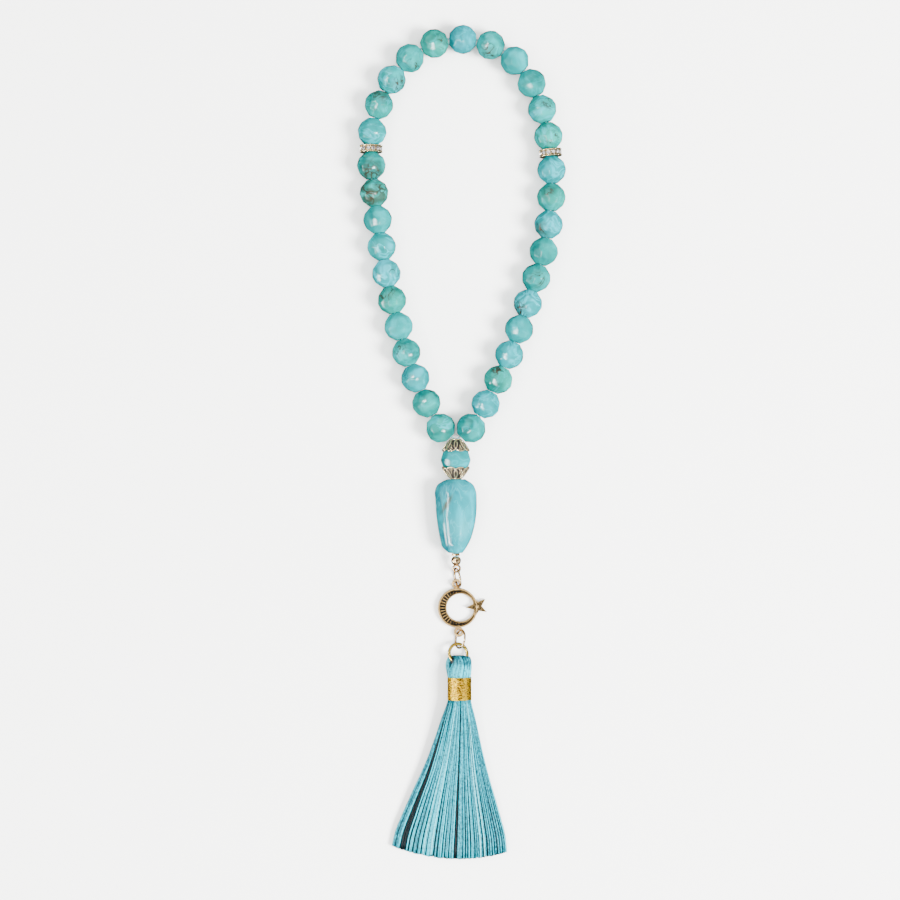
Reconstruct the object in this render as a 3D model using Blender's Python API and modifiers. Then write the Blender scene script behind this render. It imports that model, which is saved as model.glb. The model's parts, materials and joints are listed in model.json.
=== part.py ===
"""Misbaha: 33 faceted beads on a looped string, a joining bead between two caps, a large
imam bead, and a jointed pendant of a crescent and star and a silk tassel.

It lies flat on a table: Z is up from the table, +Y points from the tassel to the top of the
loop, and X is to the right. Dimensions below are in millimetres; objects are in metres.
"""
import math
from bisect import bisect_right

import bmesh
import bpy
from mathutils import Matrix, Vector
from mathutils.geometry import interpolate_bezier

MM = 0.001

# Beads
BEAD_COUNT = 33
BEADS_BETWEEN_RONDELLES = 11
BEAD_RADIUS = 5.0            # to the facets' corners
BEAD_HALF_LENGTH = 4.6       # from the middle to the flat around the bore
BEAD_BORE_RADIUS = 0.7
BEAD_ROLL_STEP = math.radians(137.5)
FACET_ROWS = ((44.0, 8), (73.5, 10), (106.5, 10), (136.0, 8))   # angle from the bore, facets
NEIGHBOUR_GAP = 0.2

# Rondelles: a spool with twelve stones in its groove
RONDELLE_RADIUS = 4.0
RONDELLE_CORE_HALF = 0.9
RONDELLE_RIM_HALF = 1.3
RONDELLE_GROOVE_RADIUS = 3.1
RONDELLE_DISH_RADIUS = 3.0   # the hollow in each end, which leaves the core narrower than the rims
RONDELLE_RIM_WALL = 0.5
RONDELLE_STONES = 12
STONE_RADIUS = 0.72
STONE_FROM_AXIS = 3.35

# String: one length, doubled through the pendant pieces
STRING_RADIUS = 0.3
STRAND_OFFSET = 0.45
STRAND_END_FROM_IMAM = 1.4    # where each strand meets the end knot
PENDANT_BORE_RADIUS = 1.0
BEAD_LEVEL = 5.0             # height of the beads' bores above the table
PENDANT_LEVEL = 5.2          # height of the pendant's bore
PENDANT_X = -2.0
FIRST_BEAD_ALONG = 6.1       # along the route, from the cap's hole to the first bead's middle
ROUTE = (
    (-2.45, 1.7), (-3.7, 2.5), (-7.4, 5.5), (-12.3, 14.2), (-16.4, 23.6), (-19.8, 33.4),
    (-22.6, 43.2), (-26.8, 62.5), (-29.7, 81.4), (-31.5, 98.0), (-31.0, 110.0),
    (-28.2, 119.8), (-23.5, 128.3), (-17.0, 135.3), (-8.6, 139.9), (1.2, 141.0),
    (10.7, 138.8), (19.0, 133.2), (24.6, 125.5), (28.2, 116.5), (31.0, 102.0),
    (31.4, 87.7), (29.0, 68.4), (23.6, 50.2), (17.0, 31.7), (8.6, 14.0), (3.5, 5.5),
    (-0.3, 2.5), (-1.55, 1.7),
)

# Joining bead and its two caps
JOINING_RADIUS = 5.1
JOINING_Y = -5.45
CAP_APEX_FROM_BEAD = 7.15
CAP_WALL = 0.45
CAP_PETALS = 8
CAP_OUTLINE = ((1.5, 0.0), (2.7, -0.75), (4.0, -2.3), (5.1, -4.3))   # radius, below the apex
SLIT_RADIUS = 0.42
SLIT_PLACE = (3.4, -1.5)     # radius, below the apex
SLIT_LEAN = 0.9
NOTCH_RADIUS = 0.75
NOTCH_PLACE = (5.1, -4.6)
CAP_CUTTER_LENGTH = 4.0

# Imam bead: a nugget whose facets twist along it; below its top: middle, half width, half depth
IMAM_TOP_Y = -12.9
IMAM_SIDES = 8
IMAM_TWIST = math.radians(55.0)
IMAM_SECTIONS = (
    (0.0, 0.1, 3.6, 3.0), (1.1, -0.1, 5.9, 4.1), (3.2, -0.1, 7.1, 4.9), (6.8, 0.1, 7.3, 5.2),
    (10.3, 0.2, 7.2, 5.2), (13.8, 0.2, 6.9, 5.1), (17.3, 0.1, 6.3, 4.8), (20.8, -0.1, 5.4, 4.3),
    (23.5, -0.4, 4.2, 3.6), (25.3, 0.0, 2.5, 2.5),
)
IMAM_BOTTOM_Y = IMAM_TOP_Y - IMAM_SECTIONS[-1][0]

# Crimp ring, knot and knot cover
CRIMP_RADIUS = 1.4
CRIMP_LENGTH = 0.8
CRIMP_BORE_RADIUS = 0.95
KNOT_RADIUS = 1.05
COVER_RADIUS = 1.7
COVER_WALL = 0.35
COVER_HOLE_RADIUS = 0.95
COVER_SIDES = 16
COVER_FROM_IMAM = 2.8
COVER_DROOP = math.radians(12.0)
COVER_YAW = math.radians(3.0)
LOOP_RADIUS = 1.2            # to the middle of its wire
LOOP_WIRE_RADIUS = 0.33
LOOP_FROM_COVER = 2.85

# Crescent and star, flat on the table
CRESCENT_CENTRE = (-1.3, -57.7)
CRESCENT_RADIUS = 6.95
CRESCENT_THICKNESS = 1.5
CRESCENT_RIM_WIDTH = 0.6
CRESCENT_RIM_HEIGHT = 2.0
CRESCENT_HOLE_CENTRE = (-0.35, -57.6)
CRESCENT_HOLE_RADIUS = 4.85
STAR_CENTRE = (5.5, -57.2)
STAR_POINT_RADIUS = 3.85
STAR_NOTCH_RADIUS = 1.6
STAR_TURN = math.radians(6.0)
STAR_HEIGHT = 2.2
EYE_RADIUS = 1.3             # to the middle of its wire
EYE_WIRE_RADIUS = 0.37
EYE_LEVEL = 1.1
EYE_TILT = math.radians(12.0)        # each eye's outer end is bent up a little
UPPER_EYE = (-1.7, -49.2)
LOWER_EYE = (-0.9, -66.15)
NECK_SIZE = (1.5, 1.3, 1.3)

# Jump rings: each stands on edge, with a little lean
JUMP_WIRE_RADIUS = 0.3
UPPER_JUMP_RADIUS = 3.3      # to the middle of the wire
UPPER_JUMP_LEAN = math.radians(-18.0)
LOWER_JUMP_RADIUS = 3.1
LOWER_JUMP_LEAN = math.radians(-30.0)
JUMP_IN_EYE = 0.1            # how far from an eye's middle, towards the crescent's, the wire crosses it

# Tassel
TASSEL_RING_CENTRE = (-1.1, -73.6, 3.0)
TASSEL_RING_RADIUS = 3.45
TASSEL_RING_WIRE_RADIUS = 0.55
TASSEL_RING_ROLL = math.radians(25.0)     # its left side is the higher one
TASSEL_RING_PITCH = math.radians(13.0)    # its free end is the lower one
JUMP_TO_RING_CENTRE = 2.2                # where the jump ring crosses the tassel ring's hole
BAND_TOP_Y = -81.5
BAND_BOTTOM_Y = -89.8
BAND_CENTRE_X = -0.7
BAND_LEVEL = 4.2
BAND_RADIUS = 4.2
NECK_RADIUS = 3.3
# Head: place along Y, middle X, half width, middle height, half depth
HEAD_SECTIONS = (
    (-73.8, -0.6, 2.9, 4.1, 1.4), (-74.2, -0.8, 3.9, 4.1, 2.6), (-75.4, -1.0, 4.5, 4.0, 3.5),
    (-77.5, -1.0, 4.6, 4.0, 3.8), (-80.0, -0.9, 4.5, 4.1, 3.9), (-81.2, -0.7, 4.1, 4.2, 3.9),
    (-81.3, -0.7, NECK_RADIUS, 4.2, NECK_RADIUS), (-90.0, -0.7, NECK_RADIUS, 4.2, NECK_RADIUS),
)
# Skirt: share of its length, middle X, half width, half depth
SKIRT_TOP_Y = -90.1
SKIRT_SECTIONS = (
    (0.0, -0.7, 4.3, 3.9), (0.03, -0.5, 4.9, 3.8), (0.12, -1.0, 6.3, 3.2), (0.25, -1.1, 8.1, 2.7),
    (0.38, -1.8, 9.7, 2.4), (0.51, -2.3, 12.1, 2.1), (0.64, -2.9, 14.9, 1.9),
    (0.77, -3.4, 17.4, 1.7), (0.90, -3.9, 19.7, 1.5), (1.0, -4.2, 20.5, 1.3),
)
SKIRT_END_Y = -145.8
SKIRT_LOWEST_SIDE = 0.2      # across the skirt, -1 left to 1 right
SKIRT_LEFT_RISE = 4.6
SKIRT_RIGHT_RISE = 2.5
TUNNEL_GAP = 0.3

OUTLINE_SIDES = 24
CORNER_SMOOTHING = math.radians(35.0)
MERGE_DISTANCE = 0.00001

COLOURS = {                  # colour, roughness, metallic
    "turquoise_resin": ((0.19, 0.63, 0.66), 0.22, 0.0),
    "imam_resin": ((0.22, 0.58, 0.62), 0.20, 0.0),
    "string_cord": ((0.75, 0.72, 0.62), 0.75, 0.0),
    "pale_gold": ((0.86, 0.74, 0.50), 0.28, 1.0),
    "antique_gold": ((0.62, 0.47, 0.20), 0.38, 1.0),
    "yellow_gold": ((0.80, 0.58, 0.16), 0.25, 1.0),
    "gold_thread": ((0.76, 0.55, 0.12), 0.45, 0.6),
    "tassel_silk": ((0.15, 0.56, 0.66), 0.55, 0.0),
}


def clear_scene():
    for obj in list(bpy.data.objects):
        bpy.data.objects.remove(obj, do_unlink=True)


def new_collection(name):
    collection = bpy.data.collections.new(name)
    bpy.context.scene.collection.children.link(collection)
    return collection


def principled(name):
    colour, roughness, metallic = COLOURS[name]
    material = bpy.data.materials.new(name)
    material.use_nodes = True
    shader = material.node_tree.nodes["Principled BSDF"]
    shader.inputs["Base Color"].default_value = (*colour, 1.0)
    shader.inputs["Roughness"].default_value = roughness
    shader.inputs["Metallic"].default_value = metallic
    material.diffuse_color = (*colour, 1.0)
    return material


def link_object(name, mesh, material=None, collection=None):
    obj = bpy.data.objects.new(name, mesh)
    (collection or PARTS).objects.link(obj)
    if material and not mesh.materials:
        mesh.materials.append(MATERIALS[material])
    return obj


def mesh_from(name, bm):
    mesh = bpy.data.meshes.new(name)
    bm.normal_update()
    bm.to_mesh(mesh)
    bm.free()
    return mesh


def shade(obj):
    obj.data.shade_smooth()
    obj.data.set_sharp_from_angle(angle=CORNER_SMOOTHING)
    return obj


def as_guide(obj):
    """Makes an object a cutter: it shapes others and isn't a part itself."""
    for collection in list(obj.users_collection):
        collection.objects.unlink(obj)
    GUIDES.objects.link(obj)
    obj.hide_render = True
    obj.display_type = "WIRE"
    return obj


def boolean(obj, tool, operation):
    modifier = obj.modifiers.new(f"{operation.lower()} {tool.name}", "BOOLEAN")
    modifier.operation = operation
    modifier.object = as_guide(tool)
    return obj


def baked(obj, name):
    """The object's shape with its modifiers applied, as a mesh. The object is removed."""
    bpy.context.view_layer.update()
    depsgraph = bpy.context.evaluated_depsgraph_get()
    mesh = bpy.data.meshes.new_from_object(obj.evaluated_get(depsgraph))
    mesh.name = name
    bpy.data.objects.remove(obj, do_unlink=True)
    bm = bmesh.new()
    bm.from_mesh(mesh)
    bmesh.ops.remove_doubles(bm, verts=bm.verts, dist=MERGE_DISTANCE)
    bm.to_mesh(mesh)
    bm.free()
    return mesh


def place(obj, where, axis=(0, 0, 1), roll=0.0):
    """Puts the object's origin at a place in millimetres, with its own Z along an axis."""
    turn = Vector((0, 0, 1)).rotation_difference(Vector(axis)) if axis != (0, 0, -1) else (
        Matrix.Rotation(math.pi, 3, "X").to_quaternion())
    obj.rotation_mode = "QUATERNION"
    obj.rotation_quaternion = turn @ Matrix.Rotation(roll, 3, "Z").to_quaternion()
    obj.location = Vector(where) * MM
    return obj


def pivot(name, where, axis):
    """An empty on a joint's axis, with its Z along the axis."""
    empty = bpy.data.objects.new(name, None)
    PARTS.objects.link(empty)
    empty.empty_display_size = 2.0 * MM
    return place(empty, where, axis)


def hang_on(obj, empty):
    """Parents an object to a pivot without moving it."""
    bpy.context.view_layer.update()
    obj.parent = empty
    obj.matrix_parent_inverse = empty.matrix_world.inverted()


def turned(name, profile, material, steps=OUTLINE_SIDES):
    """A closed profile of (radius, height) turned about Z. A side on the axis itself is left out."""
    bm = bmesh.new()
    verts = [bm.verts.new((radius * MM, 0.0, height * MM)) for radius, height in profile]
    for vert, following in zip(verts, verts[1:] + verts[:1]):
        if vert.co.x > 0 or following.co.x > 0:
            bm.edges.new((vert, following))
    obj = link_object(name, mesh_from(name, bm), material)
    screw = obj.modifiers.new("turn", "SCREW")
    screw.steps = steps
    screw.render_steps = steps
    screw.use_merge_vertices = True
    screw.merge_threshold = MERGE_DISTANCE
    return obj


def torus(name, radius, wire_radius, material, around=32, across=8):
    bpy.ops.mesh.primitive_torus_add(
        major_radius=radius * MM, minor_radius=wire_radius * MM,
        major_segments=around, minor_segments=across)
    return adopt(name, material)


def cylinder(name, radius, length, material=None, sides=OUTLINE_SIDES):
    bpy.ops.mesh.primitive_cylinder_add(radius=radius * MM, depth=length * MM, vertices=sides)
    return adopt(name, material)


def block(name, size, material=None):
    bpy.ops.mesh.primitive_cube_add(size=1.0)
    obj = adopt(name, material)
    obj.data.transform(Matrix.Diagonal((*(side * MM for side in size), 1.0)))
    return obj


def adopt(name, material):
    """Names the primitive just added and moves it to the parts' collection."""
    obj = bpy.context.object
    obj.name = name
    obj.data.name = name
    for collection in list(obj.users_collection):
        collection.objects.unlink(obj)
    PARTS.objects.link(obj)
    if material:
        obj.data.materials.append(MATERIALS[material])
    return obj


def tube(name, points, radius, material):
    """A round wire through points given in millimetres, with filled ends."""
    curve = bpy.data.curves.new(name, "CURVE")
    curve.dimensions = "3D"
    curve.bevel_depth = radius * MM
    curve.bevel_resolution = 2
    curve.render_resolution_u = 0
    curve.use_fill_caps = True
    spline = curve.splines.new("POLY")
    spline.points.add(len(points) - 1)
    for target, point in zip(spline.points, points):
        target.co = (*(Vector(point) * MM), 1.0)
    return link_object(name, curve, material)


def loft(name, rings, material):
    """A closed skin over rings of points in millimetres, with a flat face at each end."""
    bm = bmesh.new()
    rows = [[bm.verts.new(Vector(point) * MM) for point in ring] for ring in rings]
    count = len(rows[0])
    for row, following in zip(rows, rows[1:]):
        for index in range(count):
            after = (index + 1) % count
            bm.faces.new((row[index], row[after], following[after], following[index]))
    bm.faces.new(reversed(rows[0]))
    bm.faces.new(rows[-1])
    bmesh.ops.recalc_face_normals(bm, faces=bm.faces)
    return link_object(name, mesh_from(name, bm), material)


def oval(half_width, half_depth, squareness, sides=OUTLINE_SIDES):
    """Points (across, up) of a rounded outline. A squareness of 2 gives an ellipse."""
    power = 2.0 / squareness
    points = []
    for index in range(sides):
        angle = 2 * math.pi * index / sides
        across, up = math.cos(angle), math.sin(angle)
        points.append((half_width * math.copysign(abs(across) ** power, across),
                       half_depth * math.copysign(abs(up) ** power, up)))
    return points


def faceted_blank(radius, half_length):
    """A ball with rows of flat facets and a flat at each end. Its corners lie on the radius."""
    bm = bmesh.new()
    bmesh.ops.create_cube(bm, size=4.0)
    for row, (polar, count) in enumerate(FACET_ROWS):
        for index in range(count):
            around = 2 * math.pi * (index + 0.5 * (row % 2)) / count
            tilt = math.radians(polar)
            cut_flat(bm, (math.sin(tilt) * math.cos(around), math.sin(tilt) * math.sin(around),
                          math.cos(tilt)), 1.0)
    corner = max(math.hypot(vert.co.x, vert.co.y, vert.co.z) for vert in bm.verts
                 if abs(vert.co.z) < half_length / radius)
    bmesh.ops.scale(bm, verts=bm.verts, vec=(radius * MM / corner,) * 3)
    for side in (1.0, -1.0):
        cut_flat(bm, (0.0, 0.0, side), half_length * MM)
    return mesh_from("faceted blank", bm)


def cut_flat(bm, normal, distance):
    """Grinds one flat facet at a distance from the middle."""
    direction = Vector(normal)
    cut = bmesh.ops.bisect_plane(
        bm, geom=bm.verts[:] + bm.edges[:] + bm.faces[:], plane_co=direction * distance,
        plane_no=direction, clear_outer=True)
    edges = [item for item in cut["geom_cut"] if isinstance(item, bmesh.types.BMEdge)]
    bmesh.ops.edgeloop_fill(bm, edges=edges)


def drilled_bead(name, radius, half_length, bore_radius):
    blank = link_object(name, faceted_blank(radius, half_length), "turquoise_resin")
    drill = cylinder(name + " drill", bore_radius, 3 * half_length, sides=10)
    boolean(blank, drill, "DIFFERENCE")
    return baked(blank, name)


class Route:
    """The string's way round the loop: one smooth curve through the route's own points."""

    SAMPLES = 40

    def __init__(self, points, level):
        stops = [Vector((x, y, level)) for x, y in points]
        spans = [(end - start).length for start, end in zip(stops, stops[1:])]
        slopes = [(end - start) / span for start, end, span in zip(stops, stops[1:], spans)]
        leans = [slopes[0]]
        for index in range(1, len(slopes)):
            before, after = spans[index - 1], spans[index]
            leans.append((slopes[index - 1] * after + slopes[index] * before) / (before + after))
        leans.append(slopes[-1])
        self.points = [stops[0]]
        for index, span in enumerate(spans):
            start, end = stops[index], stops[index + 1]
            self.points += interpolate_bezier(
                start, start + leans[index] * span / 3, end - leans[index + 1] * span / 3, end,
                self.SAMPLES)[1:]
        self.along = [0.0]
        for start, end in zip(self.points, self.points[1:]):
            self.along.append(self.along[-1] + (end - start).length)
        self.length = self.along[-1]

    def at(self, distance):
        """The point at a distance along the curve, and the curve's direction there."""
        index = min(max(bisect_right(self.along, distance), 1), len(self.points) - 1)
        start, end = self.points[index - 1], self.points[index]
        share = (distance - self.along[index - 1]) / (self.along[index] - self.along[index - 1])
        return start.lerp(end, share), (end - start).normalized()


def reach(kind, bend):
    """How far a threaded piece reaches towards its neighbour, where the string bends."""
    if kind == "rondelle":
        return RONDELLE_CORE_HALF + 0.1
    flat_angle = math.acos(BEAD_HALF_LENGTH / BEAD_RADIUS)
    return BEAD_RADIUS * math.cos(max(flat_angle - bend / 2, 0.0))


def thread(route, kinds, slack):
    """Distances along the route of pieces that touch in a row, each pair apart by the slack."""
    places = [FIRST_BEAD_ALONG]
    for kind, following in zip(kinds, kinds[1:]):
        here, heading = route.at(places[-1])
        along = places[-1] + 2 * BEAD_HALF_LENGTH
        for _ in range(12):
            there, next_heading = route.at(along)
            bend = heading.angle(next_heading)
            wanted = reach(kind, bend) + reach(following, bend) + NEIGHBOUR_GAP + slack
            along += wanted - (there - here).length
        places.append(along)
    return places


def threaded_places(route, kinds):
    """Shares the route's spare length out evenly, so that the last bead mirrors the first."""
    low, high = -0.5, 1.0
    for _ in range(40):
        slack = (low + high) / 2
        if thread(route, kinds, slack)[-1] < route.length - FIRST_BEAD_ALONG:
            low = slack
        else:
            high = slack
    return thread(route, kinds, low), low


def build_loop(route):
    """The beads and the rondelles, and the string's points from cap to cap."""
    kinds = []
    for number in range(BEAD_COUNT):
        if number and number % BEADS_BETWEEN_RONDELLES == 0:
            kinds.append("rondelle")
        kinds.append("bead")
    places, slack = threaded_places(route, kinds)
    bead_mesh = drilled_bead("bead", BEAD_RADIUS, BEAD_HALF_LENGTH, BEAD_BORE_RADIUS)
    rondelle_mesh = rondelle_shape()
    sides = iter(("left", "right"))
    number = 0
    string_points = []
    for kind, distance in zip(kinds, places):
        middle, heading = route.at(distance)
        if kind == "bead":
            number += 1
            obj = link_object(f"bead_{number:02d}", bead_mesh)
            half = BEAD_HALF_LENGTH
        else:
            obj = link_object(f"rondelle_{next(sides)}", rondelle_mesh)
            half = RONDELLE_CORE_HALF
        place(shade(obj), middle, tuple(heading), roll=number * BEAD_ROLL_STEP)
        string_points += [middle - heading * half, middle + heading * half]
    return string_points, slack


def rondelle_shape():
    half, rim = RONDELLE_CORE_HALF, RONDELLE_RIM_HALF
    side = [(BEAD_BORE_RADIUS, half), (RONDELLE_DISH_RADIUS - 0.5, half),
            (RONDELLE_DISH_RADIUS, rim), (RONDELLE_RADIUS, rim),
            (RONDELLE_RADIUS, rim - RONDELLE_RIM_WALL),
            (RONDELLE_GROOVE_RADIUS, rim - RONDELLE_RIM_WALL - 0.2)]
    profile = side + [(radius, -height) for radius, height in reversed(side)]
    spool = turned("rondelle spool", profile, "pale_gold")
    stones = bpy.data.meshes.new("stones")
    bm = bmesh.new()
    for index in range(RONDELLE_STONES):
        turn = Matrix.Rotation(2 * math.pi * index / RONDELLE_STONES, 4, "Z")
        shift = Matrix.Translation(Vector((STONE_FROM_AXIS, 0, 0)) * MM)
        bmesh.ops.create_uvsphere(bm, u_segments=6, v_segments=4, radius=STONE_RADIUS * MM,
                                  matrix=turn @ shift)
    bm.to_mesh(stones)
    bm.free()
    boolean(spool, link_object("stones", stones), "UNION")
    return baked(spool, "rondelle")


def build_head():
    """The joining bead between its caps, the imam bead and the crimp ring below it."""
    middle = (PENDANT_X, JOINING_Y, PENDANT_LEVEL)
    mesh = drilled_bead("joining bead", JOINING_RADIUS, BEAD_HALF_LENGTH, PENDANT_BORE_RADIUS)
    place(shade(link_object("joining_bead", mesh)), middle, (0, 1, 0), roll=0.3)
    for name, side in (("cap_upper", 1), ("cap_lower", -1)):
        apex = (PENDANT_X, JOINING_Y + side * CAP_APEX_FROM_BEAD, PENDANT_LEVEL)
        place(shade(petal_cap(name)), apex, (0, side, 0), roll=0.2)
    imam_bead()
    profile = [(CRIMP_BORE_RADIUS, 0.0), (CRIMP_RADIUS - 0.2, 0.0), (CRIMP_RADIUS, -0.2),
               (CRIMP_RADIUS, 0.2 - CRIMP_LENGTH), (CRIMP_RADIUS - 0.2, -CRIMP_LENGTH),
               (CRIMP_BORE_RADIUS, -CRIMP_LENGTH)]
    place(shade(turned("crimp_ring", profile, "pale_gold")),
          (PENDANT_X, IMAM_BOTTOM_Y - 0.2, PENDANT_LEVEL), (0, 1, 0))


def on_circle(radius, height, around):
    return Vector((radius * math.cos(around), radius * math.sin(around), height))


def petal_cap(name):
    """A pierced flower of petals, like a bell: its hole is at its own origin."""
    outer = list(CAP_OUTLINE)
    inner = [(max(radius - CAP_WALL, PENDANT_BORE_RADIUS), height - 0.25 * CAP_WALL)
             for radius, height in reversed(outer)]
    inner[0] = (outer[-1][0] - CAP_WALL, outer[-1][1])
    inner[-1] = (PENDANT_BORE_RADIUS, -CAP_WALL)
    profile = [(PENDANT_BORE_RADIUS, 0.0), *outer, *inner]
    cap = turned(name, profile, "pale_gold", steps=4 * CAP_PETALS)
    for index in range(CAP_PETALS):
        around = 2 * math.pi * index / CAP_PETALS
        slit = cylinder(f"{name} slit {index}", SLIT_RADIUS, CAP_CUTTER_LENGTH, sides=8)
        out = Vector((math.cos(around), math.sin(around), SLIT_LEAN)).normalized()
        place(slit, on_circle(*SLIT_PLACE, around), tuple(out))
        boolean(cap, slit, "DIFFERENCE")
        between = around + math.pi / CAP_PETALS
        notch = cylinder(f"{name} notch {index}", NOTCH_RADIUS, CAP_CUTTER_LENGTH, sides=8)
        place(notch, on_circle(*NOTCH_PLACE, between), (math.cos(between), math.sin(between), 0.0))
        boolean(cap, notch, "DIFFERENCE")
    return cap


def imam_bead():
    rings = []
    for below, middle, half_width, half_depth in IMAM_SECTIONS:
        turn = IMAM_TWIST * (0.5 - below / IMAM_SECTIONS[-1][0])
        ring = []
        for index in range(IMAM_SIDES):
            angle = 2 * math.pi * (index + 0.5) / IMAM_SIDES + turn
            ring.append((middle + half_width * math.cos(angle), -below,
                         half_depth * math.sin(angle)))
        rings.append(ring)
    nugget = loft("imam_bead", rings, "imam_resin")
    place(nugget, (PENDANT_X, IMAM_TOP_Y, PENDANT_LEVEL))
    drill = cylinder("imam drill", PENDANT_BORE_RADIUS, 60.0, sides=12)
    place(drill, (PENDANT_X, IMAM_TOP_Y, PENDANT_LEVEL), (0, 1, 0))
    boolean(nugget, drill, "DIFFERENCE")
    shade(nugget)


def cover_axis():
    """The way the knot cover hangs from the imam bead: a little down and to the right."""
    flat = math.cos(COVER_DROOP)
    return Vector((flat * math.sin(COVER_YAW), -flat * math.cos(COVER_YAW), -math.sin(COVER_DROOP)))


def loop_axis():
    """The axis of the knot cover's loop, square to the cover's own axis and mostly upward."""
    axis = cover_axis()
    return (Vector((0, 0, 1)) - axis * axis.z).normalized()


def build_knot():
    """The knot and its cover, whose loop carries the pendant. Returns the loop's place."""
    axis = cover_axis()
    bottom = Vector((PENDANT_X, IMAM_BOTTOM_Y, PENDANT_LEVEL))
    middle = bottom + axis * COVER_FROM_IMAM
    inner = COVER_RADIUS - COVER_WALL
    profile = [(COVER_HOLE_RADIUS, math.sqrt(COVER_RADIUS ** 2 - COVER_HOLE_RADIUS ** 2))]
    steps = 6
    start = math.asin(COVER_HOLE_RADIUS / COVER_RADIUS)
    for index in range(1, steps):
        angle = start + (math.pi - start) * index / steps
        profile.append((COVER_RADIUS * math.sin(angle), COVER_RADIUS * math.cos(angle)))
    profile.append((0.0, -COVER_RADIUS))
    profile.append((0.0, -inner))
    start = math.asin(COVER_HOLE_RADIUS / inner)
    for index in range(steps - 1, -1, -1):
        angle = start + (math.pi - start) * index / steps
        profile.append((inner * math.sin(angle), inner * math.cos(angle)))
    cover = turned("knot_cover", profile, "pale_gold", steps=COVER_SIDES)
    place(cover, middle, tuple(-axis))
    loop = torus("cover loop", LOOP_RADIUS, LOOP_WIRE_RADIUS, "pale_gold", around=24)
    loop_place = middle + axis * LOOP_FROM_COVER
    place(loop, loop_place, tuple(loop_axis()))
    boolean(cover, loop, "UNION")
    shade(cover)
    bpy.ops.mesh.primitive_ico_sphere_add(subdivisions=2, radius=KNOT_RADIUS * MM)
    place(shade(adopt("end_knot", "string_cord")), middle)
    return loop_place


def build_string(loop_points):
    """Both strands from the knot up through the pendant, and round the loop through the beads."""
    start = Vector((PENDANT_X, IMAM_BOTTOM_Y, PENDANT_LEVEL)) + cover_axis() * STRAND_END_FROM_IMAM
    heights = (IMAM_BOTTOM_Y - 0.2, IMAM_BOTTOM_Y / 2 + IMAM_TOP_Y / 2, IMAM_TOP_Y,
               JOINING_Y, ROUTE[0][1] - 1.0)

    def strand(offset):
        shift = Vector((offset, 0, 0))
        return [start + shift] + [Vector((PENDANT_X, y, PENDANT_LEVEL)) + shift for y in heights]

    ends = [Vector((*ROUTE[0], PENDANT_LEVEL)), Vector((*ROUTE[1], BEAD_LEVEL))]
    far_ends = [Vector((*ROUTE[-2], BEAD_LEVEL)), Vector((*ROUTE[-1], PENDANT_LEVEL))]
    points = (strand(-STRAND_OFFSET) + ends + loop_points + far_ends
              + strand(STRAND_OFFSET)[::-1])
    tube("string", points, STRING_RADIUS, "string_cord")
    return sum((b - a).length for a, b in zip(points, points[1:]))


class StandingRing:
    """A jump ring on edge: its wire crosses two places, and its bulk stands above them."""

    def __init__(self, start, end, radius, lean):
        self.radius = radius
        along = (end - start).normalized()
        across = along.cross(Vector((0, 0, 1))).normalized()
        up = across.cross(along).normalized()
        up = Matrix.Rotation(lean, 3, along) @ up
        rise = math.sqrt(radius ** 2 - ((end - start).length / 2) ** 2)
        self.centre = (start + end) / 2 + up * rise
        self.axis = up.cross(along).normalized()
        drop = radius * math.hypot(along.z, up.z) + JUMP_WIRE_RADIUS
        self.clear_of_table = self.centre.z - drop

    def build(self, name):
        ring = torus(name, self.radius, JUMP_WIRE_RADIUS, "pale_gold")
        return place(shade(ring), self.centre, tuple(self.axis))


def tassel_ring_turn():
    """The tassel ring's tilt, from lying level."""
    return (Matrix.Rotation(TASSEL_RING_ROLL, 3, "Y")
            @ Matrix.Rotation(-TASSEL_RING_PITCH, 3, "X"))


def crescent_star():
    """The connector, seen from above: a ring that is widest at the left, a star, two eyes."""
    thick, rim = CRESCENT_THICKNESS, CRESCENT_RIM_HEIGHT
    plate = cylinder("crescent_star", CRESCENT_RADIUS, thick, "antique_gold", sides=64)
    plate.location = Vector((*CRESCENT_CENTRE, thick / 2)) * MM
    edge = turned("crescent rim", [
        (CRESCENT_RADIUS - CRESCENT_RIM_WIDTH, 0.3), (CRESCENT_RADIUS - CRESCENT_RIM_WIDTH, rim),
        (CRESCENT_RADIUS - 0.1, rim), (CRESCENT_RADIUS - 0.1, 0.3)], "antique_gold", steps=64)
    edge.location = Vector((*CRESCENT_CENTRE, 0)) * MM
    boolean(plate, edge, "UNION")
    hole = cylinder("crescent hole", CRESCENT_HOLE_RADIUS, 9.0, sides=48)
    hole.location = Vector((*CRESCENT_HOLE_CENTRE, 0)) * MM
    boolean(plate, hole, "DIFFERENCE")
    boolean(plate, star(), "UNION")
    for name, eye, side in (("upper", UPPER_EYE, -1), ("lower", LOWER_EYE, 1)):
        neck = block(f"{name} neck", NECK_SIZE)
        reach_in = EYE_RADIUS + 0.35 * NECK_SIZE[1]
        neck.location = Vector((eye[0], eye[1] + side * reach_in, 0.05 + NECK_SIZE[2] / 2)) * MM
        boolean(plate, neck, "UNION")
        eye_ring = torus(f"{name} eye", EYE_RADIUS, EYE_WIRE_RADIUS, None, around=24)
        place(eye_ring, (*eye, EYE_LEVEL), eye_axis(side))
        boolean(plate, eye_ring, "UNION")
    return shade(plate)


def eye_axis(side):
    """The axis of an eye's hole. Side is -1 for the upper eye and 1 for the lower one."""
    return (0.0, side * math.sin(EYE_TILT), math.cos(EYE_TILT))


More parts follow.
